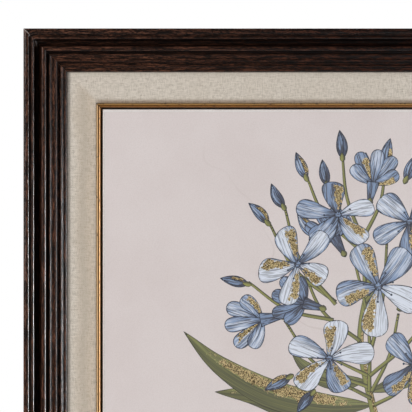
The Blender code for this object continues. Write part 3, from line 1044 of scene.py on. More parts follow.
def rail(name, stock, half, middle, turn, seed, materials):
    """A mitred rail of fine mesh, its outer edge centred on a point and turned about the depth."""
    outline = stock.face + stock.hidden
    ridges = ridge_values(stock.face) + [0.0] * len(stock.hidden)
    shelters = shelter_values(stock.face, stock.deep) + [HIDDEN_SHELTER] * len(stock.hidden)
    arcs = [0.0]
    for a, b in zip(outline, outline[1:]):
        arcs.append(arcs[-1] + (b - a).length)
    gap = MITRE_GAP / math.sqrt(2)
    stations = max(2, round(2 * half / MM / stock.spacing))
    lie = Matrix.Translation(middle) @ Matrix.Rotation(turn, 4, "Y")
    vertices, mitre, grain = [], [], []
    for station in range(stations + 1):
        share = station / stations
        for k, point in enumerate(outline):
            end = half / MM - point.x - gap
            along = (2 * share - 1) * end
            dip = 0.0
            if k < len(stock.face):
                spot = Vector((along * WANDER_ALONG, point.x * WANDER_ACROSS, seed))
                dip = stock.sway * (noise.noise(spot) - 1) / 2
            vertices.append(lie @ (Vector((along, -(point.y + dip), -point.x)) * MM))
            mitre.append(end - abs(along))
            grain.append(((along + GRAIN_SHIFT * seed) * MM, arcs[k] * MM))
    count = len(outline)
    faces = faces_between(stations + 1, count)
    faces.append(tuple(reversed(range(stations * count, (stations + 1) * count))))
    faces.append(tuple(range(count)))
    piece = new_piece(name, vertices, faces, materials)
    values = {
        "ridge": ridges * (stations + 1),
        "shelter": shelters * (stations + 1),
        "mitre": mitre,
        "upright": [abs(math.sin(turn))] * len(vertices),
    }
    for key, value in values.items():
        store(piece.data, key, "FLOAT", "POINT", value)
    store_map(piece.data, "grain", np.array(grain)[corner_vertices(piece.data)])
    return piece


def sides(half):
    """Name, offset, half length and turn of the four rails round the centre."""
    return (
        ("top", Vector((0, 0, half.y)), half.x, 0),
        ("right", Vector((half.x, 0, 0)), half.y, math.pi / 2),
        ("bottom", Vector((0, 0, -half.y)), half.x, math.pi),
        ("left", Vector((-half.x, 0, 0)), half.y, -math.pi / 2),
    )


def slip_edges():
    """Middle and half size of the slip's outer edge."""
    left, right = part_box("gilt_slip_left")[0].x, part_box("gilt_slip_right")[1].x
    upper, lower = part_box("gilt_slip_top")[1].z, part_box("gilt_slip_bottom")[0].z
    middle = Vector((CENTRE.x, CENTRE.y, (upper + lower) / 2))
    return middle, Vector(((right - left) / 2, (upper - lower) / 2))


def build_moulding(context):
    """Four rails of reeded wood, with a rabbet behind."""
    sizes = context.scene.piece_sizes
    width = MOULDING_RUNS[-1][0]
    hidden = [
        Vector((width, RABBET_DEPTH)),
        Vector((width - RABBET_WIDTH, RABBET_DEPTH)),
        Vector((width - RABBET_WIDTH, 0)),
        Vector((0, 0)),
    ]
    face = eased(run_points((0, MOULDING_WALL_TOP), MOULDING_RUNS, sizes.fullness))
    stock = RailStock(face, hidden, MOULDING_SPACING, sizes.moulding_sway / MM, MOULDING_DEEP)
    finishes = [dark_wood(context)]
    for seed, (side, offset, half, turn) in enumerate(sides(OUTER_HALF), 1):
        middle = CENTRE + offset
        rail(f"moulding_{side}", stock, half, middle, turn, seed, finishes)


def build_slip(context):
    """Four gilt rails whose flange lies under the liner and whose inner wall is painted dark."""
    sizes = context.scene.piece_sizes
    inner = SLIP_FLANGE + SLIP_RUNS[-1][0]
    hidden = [
        Vector((inner, SLIP_BOTTOM)),
        Vector((0, SLIP_BOTTOM)),
        Vector((0, SLIP_FLANGE_TOP)),
        Vector((SLIP_FLANGE, SLIP_FLANGE_TOP)),
    ]
    points = run_points((0, SLIP_WALL_TOP), SLIP_RUNS, sizes.fullness)
    face = eased([point + Vector((SLIP_FLANGE, 0)) for point in points])
    stock = RailStock(face, hidden, SLIP_SPACING, sizes.slip_sway / MM, SLIP_DEEP)
    finishes = [gilt(context), slip_wall(context)]
    centre, half_size = slip_edges()
    for seed, (side, offset, half, turn) in enumerate(sides(half_size), 11):
        middle = centre + offset
        piece = rail(f"gilt_slip_{side}", stock, half, middle, turn, seed, finishes)
        towards = (centre - middle).normalized()
        for polygon in piece.data.polygons:
            if polygon.normal.dot(towards) > WALL_FACING and polygon.area > WALL_AREA:
                polygon.material_index = 1


def rectangle(half, height, corner):
    """Points of a rounded rectangle at a height, counted the same for any size."""
    wide, tall = half
    across, down = (max(2, round(2 * size / CLOTH_SPACING)) for size in CLOTH_GRID)
    points = []
    corners = ((1, 1, across), (-1, 1, down), (-1, -1, across), (1, -1, down))
    for k, (sx, sy, count) in enumerate(corners):
        bend = Vector((sx * (wide - corner), sy * (tall - corner)))
        for step in range(CORNER_STEPS):
            angle = math.pi / 2 * (k + step / CORNER_STEPS)
            points.append(bend + corner * Vector((math.cos(angle), math.sin(angle))))
        angle = math.pi / 2 * (k + 1)
        last = corner * Vector((math.cos(angle), math.sin(angle)))
        nx, ny, _ = corners[(k + 1) % 4]
        begin, finish = bend + last, Vector((nx * (wide - corner), ny * (tall - corner))) + last
        points += [begin.lerp(finish, step / count) for step in range(count)]
    return [(p.x, p.y, height) for p in points]


def liner_loops(sizes, outer, sight, window):
    """Loops round the liner, as (half size, height, corner), from its back over its face."""
    roll, drop, sag = sizes.liner_roll / MM, sizes.liner_drop / MM, sizes.cloth_wave / MM
    both_ways = Vector((1, 1))
    begin = sight - both_ways * MITRE_GAP
    loops = [
        (outer, LINER_BOTTOM, CORNER_OUTER),
        (outer, LINER_LEDGE, CORNER_OUTER),
        (begin, LINER_LEDGE, CORNER_OUTER),
    ]
    for step in range(SHOULDER_STEPS + 1):
        share = step / SHOULDER_STEPS
        rise = LINER_BROW + (LINER_FIELD - LINER_BROW) * math.sin(math.pi / 2 * share)
        loops.append((begin - both_ways * LINER_SHOULDER * share, rise, CORNER_OUTER))
    inner = window + both_ways * roll
    field = begin - both_ways * LINER_SHOULDER
    for step in range(1, FIELD_STEPS + 1):
        share = step / FIELD_STEPS
        wave = sag * (1 + math.sin(2 * math.pi * (share - 0.1)))
        height = LINER_FIELD - wave * math.sin(math.pi * share) ** 0.5
        loops.append((field.lerp(inner, share), height, CORNER_FIELD))
    for step in range(1, ROLL_STEPS + 1):
        angle = math.pi / 2 * step / ROLL_STEPS
        spot = inner - both_ways * roll * math.sin(angle)
        loops.append((spot, LINER_FIELD - drop * (1 - math.cos(angle)), CORNER_WINDOW))
    loops.append((window, SLIP_FLANGE_TOP + TOUCH, CORNER_WINDOW))
    channel = window + both_ways * LINER_CHANNEL
    loops.append((channel, SLIP_FLANGE_TOP + TOUCH, CORNER_OUTER))
    loops.append((channel, LINER_BOTTOM, CORNER_OUTER))
    return loops


def build_liner(context):
    """Linen-covered board: a ring whose cloth swells at its outer edge and rolls at its window."""
    low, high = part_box("linen_liner")
    outer = Vector((high.x - low.x, high.z - low.z)) / 2 / MM
    sight = OUTER_HALF / MM - Vector((1, 1)) * MOULDING_RUNS[-1][0]
    window = slip_edges()[1] / MM - Vector((1, 1)) * (SLIP_FLANGE - TOUCH)
    loops = liner_loops(context.scene.piece_sizes, outer, sight, window)
    rings = [rectangle(*loop) for loop in loops]
    vertices, bands = [], []
    for x, z, level in (point for ring in rings for point in ring):
        dip = 0.0
        if level > LINER_LEDGE:
            spot = Vector((x * CLOTH_SWELLS_PER_MM, z * CLOTH_SWELLS_PER_MM, 3.0))
            dip = CLOTH_SWELL * (noise.noise(spot) - 1) / 2
        vertices.append(CENTRE + Vector((x, -(level + dip), z)) * MM)
        from_side, from_top = sight.x - abs(x), sight.y - abs(z)
        band = min(from_side, from_top) / (sight.x - window.x)
        upright = 0.5 - (from_side - from_top) / BAND_BLEND
        bands.append((band, min(1.0, max(0.0, upright)), 0))
    faces = faces_between(len(rings), len(rings[0]), closed=True)
    finishes = [linen(context)]
    piece = new_piece("linen_liner", vertices, faces, finishes, CLOTH_SMOOTH_ANGLE)
    store(piece.data, "band", "FLOAT_VECTOR", "POINT", bands)


def dress_solids(start, material):
    """Gives a finish to the carried-over solids whose names start so."""
    for name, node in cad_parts.items():
        if name.startswith(start):
            node.data.materials.clear()
            node.data.materials.append(material)


def screw_profile(radius, top, seat, tip):
    """Radius and place of each ring of a screw, from the middle of its head to its tip."""
    profile = [(0.0, top)]
    for k in range(1, CROWN_STEPS + 1):
        drop = SCREW_CROWN_DROP * MM * (k / CROWN_STEPS) ** 4
        profile.append((radius * SCREW_CROWN * k / CROWN_STEPS, top - drop))
    profile += [(radius, top - SCREW_RIM_DROP * MM), (radius, seat), (SCREW_SHANK * MM, seat)]
    for turn in range(THREADS):
        here = seat - (seat - tip - SCREW_POINT * MM) * (turn + 0.5) / THREADS
        profile.append((SCREW_SHANK * MM, here))
        profile.append((SCREW_SHANK * THREAD_ROOT * MM, here - THREAD_DROP * MM))
    return profile + [(SCREW_TIP * MM, tip + SCREW_TIP * MM), (0.0, tip)]


def build_screws(context):
    """Pan-head screws with a cross recess, their shanks sunk in the moulding."""
    recess = context.scene.piece_sizes.screw_recess
    for side in ("left", "right"):
        name = f"hanger_screw_{side}"
        low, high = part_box(name)
        middle = Vector(((low.x + high.x) / 2, 0, (low.z + high.z) / 2))
        radius = (high.x - low.x) / 2
        seat = high.y - SCREW_HEAD * MM
        profile = screw_profile(radius, high.y, seat, low.y)
        vertices, faces, starts = [], [], []
        for r, y in profile:
            starts.append(len(vertices))
            for step in range(SCREW_SIDES if r else 1):
                angle = 2 * math.pi * step / SCREW_SIDES
                x, z = r * math.cos(angle), r * math.sin(angle)
                dip = 0.0
                if y > seat + RECESS_FLOOR * MM and r < radius * RECESS_REACH:
                    arm = min(abs(x), abs(z)) / (radius * RECESS_WIDTH)
                    tip = r / (radius * RECESS_REACH)
                    dip = recess * max(0.0, 1 - arm**4) * (1 - tip**6)
                vertices.append(middle + Vector((x, y - dip, z)))
        for k, ((r, _), (further, _)) in enumerate(zip(profile, profile[1:])):
            for i in range(SCREW_SIDES):
                j = (i + 1) % SCREW_SIDES
                near = [starts[k] + i, starts[k] + j] if r else [starts[k]]
                away = [starts[k + 1] + j, starts[k + 1] + i] if further else [starts[k + 1]]
                faces.append(tuple(reversed(near + away)))
        new_piece(name, vertices, faces, [zinc_steel(context)])


# The printed picture. Its shapes lie in the sheet's plane, in millimetres right and down from its
# top left corner. Angles are in degrees

PETAL, LEAF, STEM, ANTHER = range(1, 5)

# Base, tip, bow, half width, tone, gilding
LEAVES = (
    ((258, 430), (118, 398), 0.14, 17, 0.3, 0.7),
    ((272, 470), (418, 420), -0.12, 18, 0.1, 0.8),
    ((262, 545), (110, 590), -0.12, 19, 0.1, 0.85),
    ((262, 560), (420, 610), 0.12, 18, 0.4, 0.6),
    ((246, 310), (380, 278), -0.14, 15, 0.4, 0.7),
    ((236, 250), (318, 168), 0.16, 9, 0.6, 0.0),
    ((232, 240), (166, 214), -0.16, 8, 0.6, 0.0),
    ((250, 326), (98, 250), 0.12, 15, 0.1, 0.9),
    ((238, 262), (70, 196), -0.13, 13, 0.3, 0.8),
)
# Points, half width at the start and at the end, gilding
STEMS = (
    (
        [(262, 668), (252, 590), (264, 500), (272, 420),
         (258, 340), (240, 268), (228, 205), (236, 150)],
        6.2, 2.6, 0.95,
    ),
    ([(270, 452), (318, 372), (352, 300), (366, 220)], 4.2, 2.2, 0.9),
)
# Half width of a stalk at its start and at its end
STALK_WIDTHS = (1.9, 1.2)
# Start, end, bow
STALKS = (
    ((228, 205), (176, 138), -0.12),
    ((232, 160), (212, 88), 0.1),
    ((236, 246), (160, 186), -0.14),
    ((236, 236), (206, 222), 0.0),
    ((240, 262), (276, 232), 0.1),
    ((232, 170), (272, 96), 0.1),
    ((206, 170), (146, 98), -0.1),
    ((224, 120), (180, 58), -0.1),
    ((228, 110), (212, 40), -0.06),
    ((204, 186), (128, 152), -0.1),
    ((232, 110), (250, 48), 0.08),
    ((206, 172), (160, 84), -0.1),
    ((236, 250), (222, 130), 0.05),
    ((238, 256), (190, 240), 0.06),
    ((238, 250), (262, 180), 0.06),
    ((236, 236), (300, 150), 0.1),
    ((234, 226), (252, 110), 0.04),
    ((366, 222), (352, 178), 0.0),
    ((366, 222), (402, 196), 0.1),
    ((360, 262), (336, 232), 0.0),
    ((356, 280), (408, 262), 0.1),
)
# Base, angle, length, half width, tone, gilding
BUDS = (
    ((166, 236), 152, 27, 5.4, 0.9, 0.7),
    ((186, 250), 128, 24, 5.0, 1.1, 0.0),
    ((188, 112), -128, 27, 5.6, 0.6, 0.8),
    ((250, 50), -80, 27, 5.4, 0.9, 0.7),
    ((212, 42), -96, 26, 5.2, 1.1, 0.0),
    ((180, 60), -112, 26, 5.2, 0.8, 0.8),
    ((160, 86), -118, 25, 5.0, 1.0, 0.0),
    ((146, 100), -134, 26, 5.2, 0.9, 0.7),
    ((128, 154), -168, 26, 5.0, 1.0, 0.6),
    ((268, 62), -66, 27, 5.4, 0.8, 0.0),
    ((232, 60), -88, 24, 4.8, 0.7, 0.6),
    ((198, 66), -100, 24, 4.8, 1.0, 0.0),
)
# Base, angle, size, tone, gilding
SIDE_BLOSSOMS = (
    ((160, 182), 170, 44, 0.5, 0.85),
    ((236, 82), -80, 40, 0.5, 0.8),
    ((196, 176), 196, 40, 0.75, 0.0),
    ((262, 176), -20, 40, 0.8, 0.0),
    ((214, 128), -120, 38, 0.8, 0.0),
)
# Sides of a petal that may be gilded, how far along, and how often they are
PETAL_GILDING = (0.9, -0.85)
GILDED_SHARE = 0.72
# Changes of tone from petal to petal
PETAL_TONES = (-0.3, -0.15, 0.0, 0.15, 0.4)
STAMENS = 7
# Centre, size, spin, squash, facing, tone
BLOSSOMS = (
    ((272, 98), 38, 10, 0.85, 60, 0.25),
    ((208, 92), 37, 52, 0.8, 100, 0.3),
    ((276, 226), 38, 5, 0.9, 20, 0.3),
    ((172, 136), 39, 30, 0.8, 30, 0.15),
    ((200, 220), 40, 62, 0.86, 80, 0.1),
    ((244, 156), 43, 20, 0.95, 0, 0.0),
    ((352, 176), 40, 40, 0.9, 20, 0.1),
    ((404, 200), 38, 10, 0.75, 40, 0.3),
    ((336, 236), 38, 60, 0.8, 120, 0.2),
    ((408, 268), 40, 25, 0.9, 0, 0.1),
)


def smooth_line(points, steps_each=6):
    """A smooth curve through given points."""
    spots = [np.array(p, float) for p in points]
    spots = [2 * spots[0] - spots[1], *spots, 2 * spots[-1] - spots[-2]]
    line = []
    for a, b, c, d in zip(spots, spots[1:], spots[2:], spots[3:]):
        for step in range(steps_each):
            t = step / steps_each
            square, cube = 2 * a - 5 * b + 4 * c - d, 3 * b - a - 3 * c + d
            line.append(0.5 * (2 * b + (c - a) * t + square * t**2 + cube * t**3))
    line.append(spots[-2])
    return np.array(line)


class Mark:
    """One printed shape: an axis, a half width along it, and how it is inked."""

    def __init__(self, ink, axis, width, lay=None, *, seed, tone=0.0, gilding=0.0):
        self.ink = ink
        self.axis = np.asarray(axis, float)
        self.width = width
        self.turn, self.shift = lay if lay else (np.eye(2), np.zeros(2))
        self.tone, self.gilding, self.seed = tone, gilding, seed
        steps = np.diff(self.axis, axis=0)
        self.lengths = np.linalg.norm(steps, axis=1)
        self.directions = steps / self.lengths[:, None]
        self.reached = np.concatenate([[0], np.cumsum(self.lengths)])
        self.length = self.reached[-1]

    def at(self, share, across):
        """The point at a share of the axis and of the half width."""
        distance = share * self.length
        k = int(np.clip(np.searchsorted(self.reached, distance) - 1, 0, len(self.lengths) - 1))
        rest = distance - self.reached[k]
        ahead = self.directions[k]
        if rest < self.lengths[k] / 2 and k > 0:
            ahead = ahead + self.directions[k - 1] * (0.5 - rest / self.lengths[k])
        elif rest > self.lengths[k] / 2 and k < len(self.lengths) - 1:
            ahead = ahead + self.directions[k + 1] * (rest / self.lengths[k] - 0.5)
        ahead = ahead / np.linalg.norm(ahead)
        side = np.array((-ahead[1], ahead[0]))
        local = self.axis[k] + self.directions[k] * rest + side * across * self.width(share)
        return self.turn @ local + self.shift

    def outline(self, spacing):
        """Points round the shape, closer together at its two ends."""
        count = max(6, round(self.length / spacing))
        shares = [(1 - math.cos(math.pi * i / count)) / 2 for i in range(count + 1)]
        return [self.at(s, 1) for s in shares] + [self.at(s, -1) for s in reversed(shares)]

    def inner_points(self, spacing):
        """Points inside a shape that is wide enough to need them."""
        rows = max(2, round(self.length / spacing))
        widest = max(self.width(i / rows) for i in range(rows + 1))
        if widest < ONE_LANE:
            return []
        lanes = (-0.5, 0.0, 0.5) if widest > THREE_LANES else (0.0,)
        return [self.at(i / rows, lane) for i in range(1, rows) for lane in lanes]

    def measure(self, points, spacing):
        """Share along, share across, distance to the edge and half width at sheet points."""
        points = np.asarray(points)
        local = (points - self.shift) @ np.linalg.inv(self.turn).T
        gap, run, k = nearest(local, self.axis)
        along = (self.reached[k] + run) / self.length
        direction = self.directions[k]
        away = local - self.axis[k] - direction * run[:, None]
        side = np.sign(direction[:, 0] * away[:, 1] - direction[:, 1] * away[:, 0])
        half = np.array([max(self.width(float(s)), LEAST_HALF_WIDTH) for s in along])
        across = np.clip(side * gap / half, -1, 1)
        rim = self.outline(spacing)
        edge, _, _ = nearest(points, np.array(rim + rim[:1]))
        return along, across, edge, half


def nearest(points, line):
    """Distance to a line of straight steps, the run along the nearest step, and its number."""
    steps = np.diff(line, axis=0)
    lengths = np.maximum(np.linalg.norm(steps, axis=1), 1e-9)
    directions = steps / lengths[:, None]
    offset = points[:, None, :] - line[None, :-1, :]
    run = np.clip(np.einsum("ijk,jk->ij", offset, directions), 0, lengths[None, :])
    gaps = np.linalg.norm(offset - run[..., None] * directions[None], axis=2)
    k = gaps.argmin(axis=1)
    rows = np.arange(len(points))
    return gaps[rows, k], run[rows, k], k


def turned(angle, squash=1.0, facing=0.0):
    """A turn by an angle, then a squash across a facing direction, as a tilted flower has. Both
    angles are in radians."""
    def turn(a):
        return np.array(((math.cos(a), -math.sin(a)), (math.sin(a), math.cos(a))))
    return turn(facing) @ np.diag((squash, 1.0)) @ turn(-facing) @ turn(angle)


def round_petal(width):
    """Widest past its middle, with a blunt round tip."""
    return lambda u: width * (0.14 + 0.98 * u**0.85) * math.sqrt(max(0.0, 1 - u**5)) + 0.02


def pointed(width, fullest):
    """Pointed at both ends, and widest nearer to its base for a smaller fullest."""
    return lambda u: width * math.sin(math.pi * min(1.0, max(0.0, u)) ** fullest) ** 0.85 + 0.05


def tapered(first, last):
    """Straight sides from a first to a last half width."""
    return lambda u: first + (last - first) * u


class Spray:
    """Collects the picture's shapes, the lowest first."""

    def __init__(self, seed):
        self.draw = random.Random(seed)
        self.marks = []

    def add(self, *args, **kinds):
        self.marks.append(Mark(*args, seed=self.draw.uniform(0, 50), **kinds))

    def stem(self, points, first, last, gilding=0.0):
        self.add(STEM, smooth_line(points), tapered(first, last), tone=0.5, gilding=gilding)

    def leaf(self, base, tip, bow, width, tone, gilding):
        """A leaf from base to tip, bowed sideways."""
        base, tip = np.array(base, float), np.array(tip, float)
        ahead = tip - base
        side = np.array((-ahead[1], ahead[0]))
        points = [
            base,
            base + ahead * 0.24 + side * bow * 0.72,
            base + ahead * 0.5 + side * bow,
            base + ahead * 0.78 + side * bow * 0.68,
            tip,
        ]
        self.add(LEAF, smooth_line(points, 5), pointed(width, 0.82), tone=tone, gilding=gilding)

    def bud(self, base, angle, length, width, tone, gilding):
        """A closed bud on a small green cup, pointing along an angle."""
        lay = (turned(math.radians(angle)), np.array(base, float))
        bend = self.draw.uniform(-0.06, 0.06) * length
        axis = smooth_line([(0, 0), (length * 0.5, bend), (length, 0)])
        self.add(PETAL, axis, pointed(width, 0.8), lay, tone=tone, gilding=gilding)
        low = bend - width * 0.2
        fold = smooth_line([(length * 0.1, 0), (length * 0.5, low), (length * 0.98, 0)])
        self.add(PETAL, fold, pointed(width * 0.5, 0.8), lay, tone=tone * 0.7)
        cup = [(-3.0, 0), (length * 0.22, 0)]
        self.add(STEM, cup, pointed(width * 0.5, 0.8), lay, tone=0.3)

    def blossom(self, centre, size, spin, squash, facing, tone):
        """An open blossom of five round petals with its stamens."""
        centre = np.array(centre, float)
        facing = math.radians(facing)
        for k in (0, 2, 4, 1, 3):
            angle = math.radians(spin + 72 * k + self.draw.uniform(-6, 6))
            length = size * self.draw.uniform(0.92, 1.06)
            bend = self.draw.uniform(-0.07, 0.07) * length
            axis = smooth_line([(size * 0.06, 0), (length * 0.5, bend), (length, bend * 0.4)])
            lay = (turned(angle, squash, facing), centre)
            gilded = self.draw.random() < GILDED_SHARE
            gilding = self.draw.choice(PETAL_GILDING) if gilded else 0.0
            depth = tone + self.draw.choice(PETAL_TONES)
            self.add(PETAL, axis, round_petal(length * 0.36), lay, tone=depth, gilding=gilding)
        lay = (turned(0, squash, facing), centre)
        eye = [(-size * 0.1, 0), (size * 0.1, 0)]
        self.add(PETAL, eye, pointed(size * 0.1, 1.0), lay, tone=0.8)
        for k in range(STAMENS):
            angle = math.radians(spin + 20 + 360 * k / STAMENS + self.draw.uniform(-9, 9))
            reach = size * self.draw.uniform(0.24, 0.34)
            lay = (turned(angle, squash, facing), centre)
            self.add(PETAL, [(size * 0.05, 0), (reach, 0)], tapered(0.45, 0.35), lay, tone=-0.3)
            self.add(ANTHER, [(reach - 0.6, 0), (reach + 1.7, 0)], pointed(1.15, 1.0), lay)

    def side_blossom(self, base, angle, size, tone, gilding):
        """A blossom seen from the side: its tube, and petals that flare from the tube's mouth."""
        base = np.array(base, float)
        turn = turned(math.radians(angle))
        mouth = turn @ np.array((size * 0.45, 0)) + base
        for spread in (-34, 30, -58, 56, 0):
            lay = (turned(math.radians(angle + spread)), mouth)
            length = size * (0.78 if abs(spread) < 50 else 0.62)
            axis = smooth_line([(0, 0), (length * 0.5, spread * 0.03), (length, 0)])
            gilded = gilding if abs(spread) in (34, 56) else 0.0
            depth = tone + self.draw.uniform(-0.15, 0.15)
            self.add(PETAL, axis, round_petal(size * 0.2), lay, tone=depth, gilding=gilded)
        lay = (turn, base)
        tube = [(0, 0), (size * 0.5, 0)]
        self.add(PETAL, tube, tapered(size * 0.05, size * 0.15), lay, tone=tone + 0.4)
        cup = [(-2.0, 0), (size * 0.14, 0)]
        self.add(STEM, cup, pointed(size * 0.08, 0.9), lay, tone=0.3)


def compose(seed):
    """Every shape of the spray."""
    spray = Spray(seed)
    for leaf in LEAVES:
        spray.leaf(*leaf)
    for stem in STEMS:
        spray.stem(*stem)
    for (fx, fy), (tx, ty), bow in STALKS:
        middle = ((fx + tx) / 2 + bow * (fy - ty), (fy + ty) / 2 + bow * (tx - fx))
        spray.stem([(fx, fy), middle, (tx, ty)], *STALK_WIDTHS)
    for bud in BUDS:
        spray.bud(*bud)
    for flower in SIDE_BLOSSOMS:
        spray.side_blossom(*flower)
    for flower in BLOSSOMS:
        spray.blossom(*flower)
    return spray.marks


def cut_sheet(marks, wide, tall, spacing):
    """The sheet cut along every outline: its points, its triangles and each one's topmost shape."""
    points = [(0, 0), (0, tall), (wide, tall), (wide, 0)]
    rings = [[0, 1, 2, 3]]
    for mark in marks:
        ring = mark.outline(spacing)
        rings.append(list(range(len(points), len(points) + len(ring))))
        points += [tuple(p) for p in ring]
    for mark in marks:
        points += [tuple(p) for p in mark.inner_points(spacing * INNER_SPACING)]
    spots = [Vector((x, -y)) for x, y in points]
    found = geometry.delaunay_2d_cdt(spots, [], rings, 1, CUT_TOLERANCE, True)
    flat = np.array([(v.x, -v.y) for v in found[0]])
    return flat, found[2], np.array([max(owner) for owner in found[5]])


def ink_sheet(mesh, marks, flat, topmost, spacing):
    """Gives each triangle its shape's ink, and each corner its place on that shape."""
    used = corner_vertices(mesh)
    first = np.zeros(len(mesh.polygons), np.int32)
    mesh.polygons.foreach_get("loop_start", first)
    inked = np.zeros(len(mesh.polygons), np.int32)
    spot, facts, extras = (np.zeros((len(used), width)) for width in (2, 3, 3))
    for number, mark in enumerate(marks, 1):
        mine = np.flatnonzero(topmost == number)
        if not len(mine):
            continue
        inked[mine] = mark.ink
        own = (first[mine][:, None] + np.arange(3)[None]).ravel()
        along, across, edge, half = mark.measure(flat[used[own]], spacing)
        spot[own] = np.stack((along, across), 1)
        facts[own] = np.stack((edge, half, np.full(len(own), mark.tone)), 1)
        extras[own] = (mark.gilding, mark.seed, 0)
    mesh.polygons.foreach_set("material_index", inked)
    store_map(mesh, "mark", spot)
    store_map(mesh, "OFBake", sheet_map(mesh))
    store(mesh, "facts", "FLOAT_VECTOR", "CORNER", facts)
    store(mesh, "extras", "FLOAT_VECTOR", "CORNER", extras)


def sheet_map(mesh):
    """Each corner's share of the sheet's width and height, inside a small margin."""
    low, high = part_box("print_sheet")
    places = np.zeros(3 * len(mesh.vertices), np.float32)
    mesh.vertices.foreach_get("co", places)
    places = places.reshape(-1, 3)[corner_vertices(mesh)]
    across = (places[:, 0] - low.x) / (high.x - low.x)
    upward = (places[:, 2] - low.z) / (high.z - low.z)
    return MAP_MARGIN + (1 - 2 * MAP_MARGIN) * np.stack((across, upward), 1)


def build_print_sheet(context):
    """The printed sheet: one flat face cut along every outline, so that ink isn't raised."""
    look = context.scene.print_design
    low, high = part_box("print_sheet")
    marks = compose(look.seed)
    size = (high.x - low.x) / MM, (high.z - low.z) / MM
    flat, triangles, topmost = cut_sheet(marks, *size, look.detail)
    vertices = [(low.x + x * MM, low.y, high.z - y * MM) for x, y in flat]
    rim = boundary_loop(triangles)
    behind, count = len(vertices), len(rim)
    vertices += [(vertices[i][0], high.y, vertices[i][2]) for i in rim]
    faces = [tuple(t) for t in triangles]
    for k in range(count):
        m = (k + 1) % count
        faces.append((rim[m], rim[k], behind + k, behind + m))
    faces.append(tuple(behind + k for k in range(count)))
    inks = [ink(context) for ink in (print_paper, petal_ink, leaf_ink, stem_ink, anther_ink)]
    piece = new_piece("print_sheet", vertices, faces, inks)
    ink_sheet(piece.data, marks, flat, topmost, look.detail)


def boundary_loop(triangles):
    """The sheet's rim as one loop of vertices, in the triangles' own direction."""
    edges = [(corners[k], corners[(k + 1) % 3]) for corners in triangles for k in range(3)]
    known = set(edges)
    ahead = {start: end for start, end in edges if (end, start) not in known}
    loop = [next(iter(ahead))]
    while ahead[loop[-1]] != loop[0]:
        loop.append(ahead[loop[-1]])
    return loop


# Sizes and colours that a user may change

class PieceSizes(bpy.types.PropertyGroup):
    """Sizes that shape the pieces inside the solid model's outer faces."""

    fullness: FloatProperty(
        name="Reed fullness", description="Roundness of the reeds and beads, fuller when lower",
        subtype="FACTOR", min=0.2, max=1, default=0.45,
    )
    moulding_sway: FloatProperty(
        name="Moulding waviness",
        description="How far the moulding's face wanders below its outline",
        subtype="DISTANCE", unit="LENGTH", min=0, max=0.001, default=0.00012,
    )
    slip_sway: FloatProperty(
        name="Slip waviness", description="How far the slip's beads wander below their outline",
        subtype="DISTANCE", unit="LENGTH", min=0, max=0.001, default=0.0001,
    )
    liner_roll: FloatProperty(
        name="Cloth roll width",
        description="Width over which the cloth rolls down at the liner's window",
        subtype="DISTANCE", unit="LENGTH", min=0.001, max=0.008, default=0.0042,
    )
    liner_drop: FloatProperty(
        name="Cloth roll depth", description="How far the cloth drops before it meets the slip",
        subtype="DISTANCE", unit="LENGTH", min=0.0005, max=0.004, default=0.0015,
    )
    cloth_wave: FloatProperty(
        name="Cloth wave", description="Hollow along the middle of the liner's bands",
        subtype="DISTANCE", unit="LENGTH", min=0, max=0.001, default=0.0002,
    )
    screw_recess: FloatProperty(
        name="Screw recess", description="Depth of the cross in the screws' heads",
        subtype="DISTANCE", unit="LENGTH", min=0, max=0.001, default=0.00065,
    )


class WoodFinish(bpy.types.PropertyGroup):
    """Colours and gloss of the stained moulding."""

    dark: FloatVectorProperty(
        name="Dark stain", description="Deepest grain colour",
        subtype="COLOR", default=(0.006, 0.0027, 0.0017),
    )
    middle: FloatVectorProperty(
        name="Stain", description="Usual colour of the stained wood",
        subtype="COLOR", default=(0.040, 0.0165, 0.0094),
    )
    light: FloatVectorProperty(
        name="Light grain", description="Lightest streaks of the grain",
        subtype="COLOR", default=(0.135, 0.053, 0.030),
    )
    pore: FloatVectorProperty(
        name="Pores", description="Colour in pores and grooves",
        subtype="COLOR", default=(0.0016, 0.0008, 0.0006),
    )
    # Painted shade of the level rails, darkest halfway along them
    waxed: FloatVectorProperty(
        name="Shaded middle", description="Tint of the level rails, darkest halfway along them",
        subtype="COLOR", default=(0.40, 0.29, 0.23),
    )
    rubbed: FloatVectorProperty(
        name="Rubbed edge", description="Wood that shows where an edge is rubbed",
        subtype="COLOR", default=(0.13, 0.070, 0.045),
    )
    chip: FloatVectorProperty(
        name="Chipped mitre", description="Filler that shows at the outer end of a mitre",
        subtype="COLOR", default=(0.36, 0.31, 0.28),
    )
    wear: FloatProperty(
        name="Edge wear", description="How much of the stain is rubbed off the edges",
        subtype="FACTOR", min=0, max=1, default=0.06,
    )
    gloss_roughness: FloatProperty(
        name="Lacquer roughness", description="Roughness of the satin lacquer",
        subtype="FACTOR", min=0.05, max=1, default=0.36,
    )


